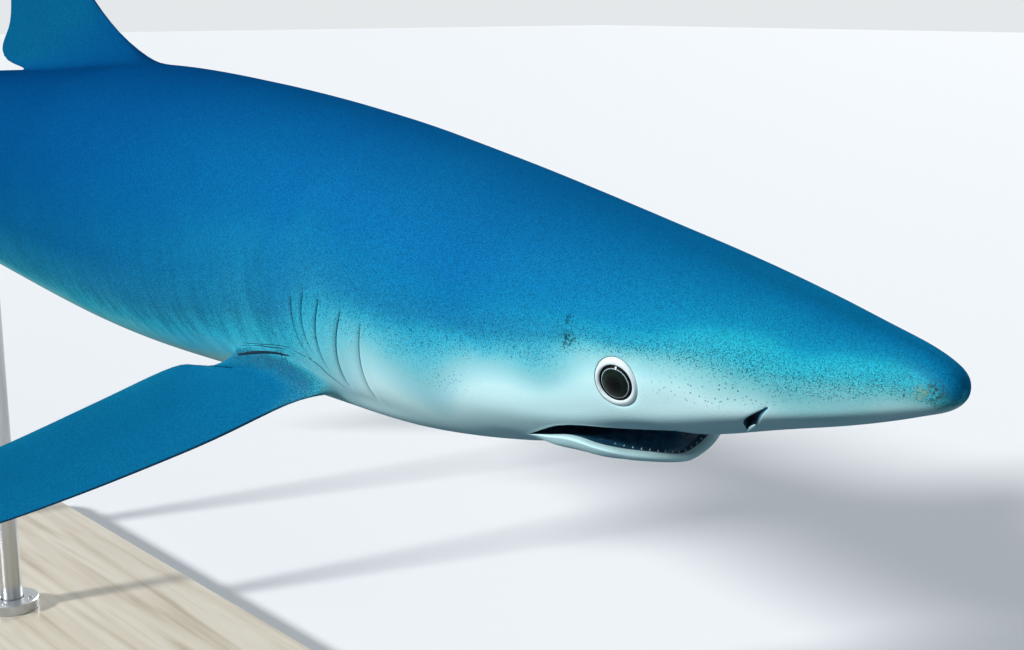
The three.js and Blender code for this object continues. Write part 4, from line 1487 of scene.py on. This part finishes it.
# Floor, light and camera
studio = {
    "floorSize": 60,  # metres
    "floorSeen": "#F2F4F5",
    "floorBounce": "#50606C",
    "worldSeen": "#E4E8EA",
    "worldLight": "#BAD6F6",
    "worldStrength": 0.15,
    # where each sun stands, its softness in degrees and its strength
    "suns": [
        ("key", (-0.25, -1.0, 0.52), 8, 3.7),
        ("fill", (1.5, -0.5, 0.8), 40, 0.5),
        ("back", (-0.8, 1.6, 0.9), 30, 1.9),
    ],
    # the camera's place from the snout's tip in metres, its turn and tilt in degrees and its lens
    "fromSnout": (0.4, -0.6534, 0.1976),
    "turn": 49.2,
    "tilt": 12.5,
    "lens": 51.57,
}


# One where a ray from the camera, a gloss or a glass arrives
def seenRay(tree):
    path = addNode(tree, "LightPath").outputs
    both = addMath(tree, "MAXIMUM", path["Is Camera Ray"], path["Is Glossy Ray"])
    return addMath(tree, "MAXIMUM", both, path["Is Transmission Ray"])


# Matt white studio paper, which throws a dim blue light back at the shark's underside
def studioPaper():
    material, tree, shader, _ = newMaterial("studioPaper", {"Roughness": 0.9, "Specular IOR Level": 0.1})
    colour = addNode(
        tree, "Mix", {0: seenRay(tree), 6: paint(studio["floorBounce"]), 7: paint(studio["floorSeen"])},
        data_type="RGBA",
    )
    tree.links.new(colour.outputs[2], shader.inputs["Base Color"])
    return material


def makeFloor():
    sheet = bmesh.new()
    bmesh.ops.create_grid(sheet, x_segments=1, y_segments=1, size=studio["floorSize"] / 2)
    floor = addObject("studioFloor", sheet, [studioPaper()], smooth=False)


# Adds a lamp or the camera, facing the way it is told.
def addAimed(data, spot, ahead):
    made = bpy.data.objects.new(data.name, data)
    made.location = spot
    made.rotation_euler = ahead.to_track_quat("-Z", "Y").to_euler()
    bpy.context.scene.collection.objects.link(made)
    return made


def lightStudio():
    for name, spot, softness, strength in studio["suns"]:
        data = bpy.data.lights.new(name, "SUN")
        data.angle = math.radians(softness)
        data.energy = strength
        addAimed(data, spot, -Vector(spot))
    world = bpy.data.worlds.new("studioAir")
    bpy.context.scene.world = world
    world.use_nodes = True
    tree = world.node_tree
    tree.nodes.clear()
    lit = addNode(tree, "Background", {0: paint(studio["worldLight"]), 1: studio["worldStrength"]})
    seen = addNode(tree, "Background", {0: paint(studio["worldSeen"]), 1: 1.0})
    both = addNode(tree, "MixShader", {0: seenRay(tree), 1: lit.outputs[0], 2: seen.outputs[0]})
    addNode(tree, "OutputWorld", {0: both.outputs[0]})


def setCamera():
    turn, tilt = math.radians(studio["turn"]), math.radians(studio["tilt"])
    ahead = Vector((-math.sin(turn) * math.cos(tilt), math.cos(turn) * math.cos(tilt), -math.sin(tilt)))
    data = bpy.data.cameras.new("studioCamera")
    data.lens = studio["lens"]
    data.clip_start = 0.01
    spot = Vector(place(0, 0, 0)) + Vector(studio["fromSnout"])
    bpy.context.scene.camera = addAimed(data, spot, ahead)


makeFloor()
lightStudio()
setCamera()
bpy.context.scene.view_settings.view_transform = "Standard"
print("studio ready")
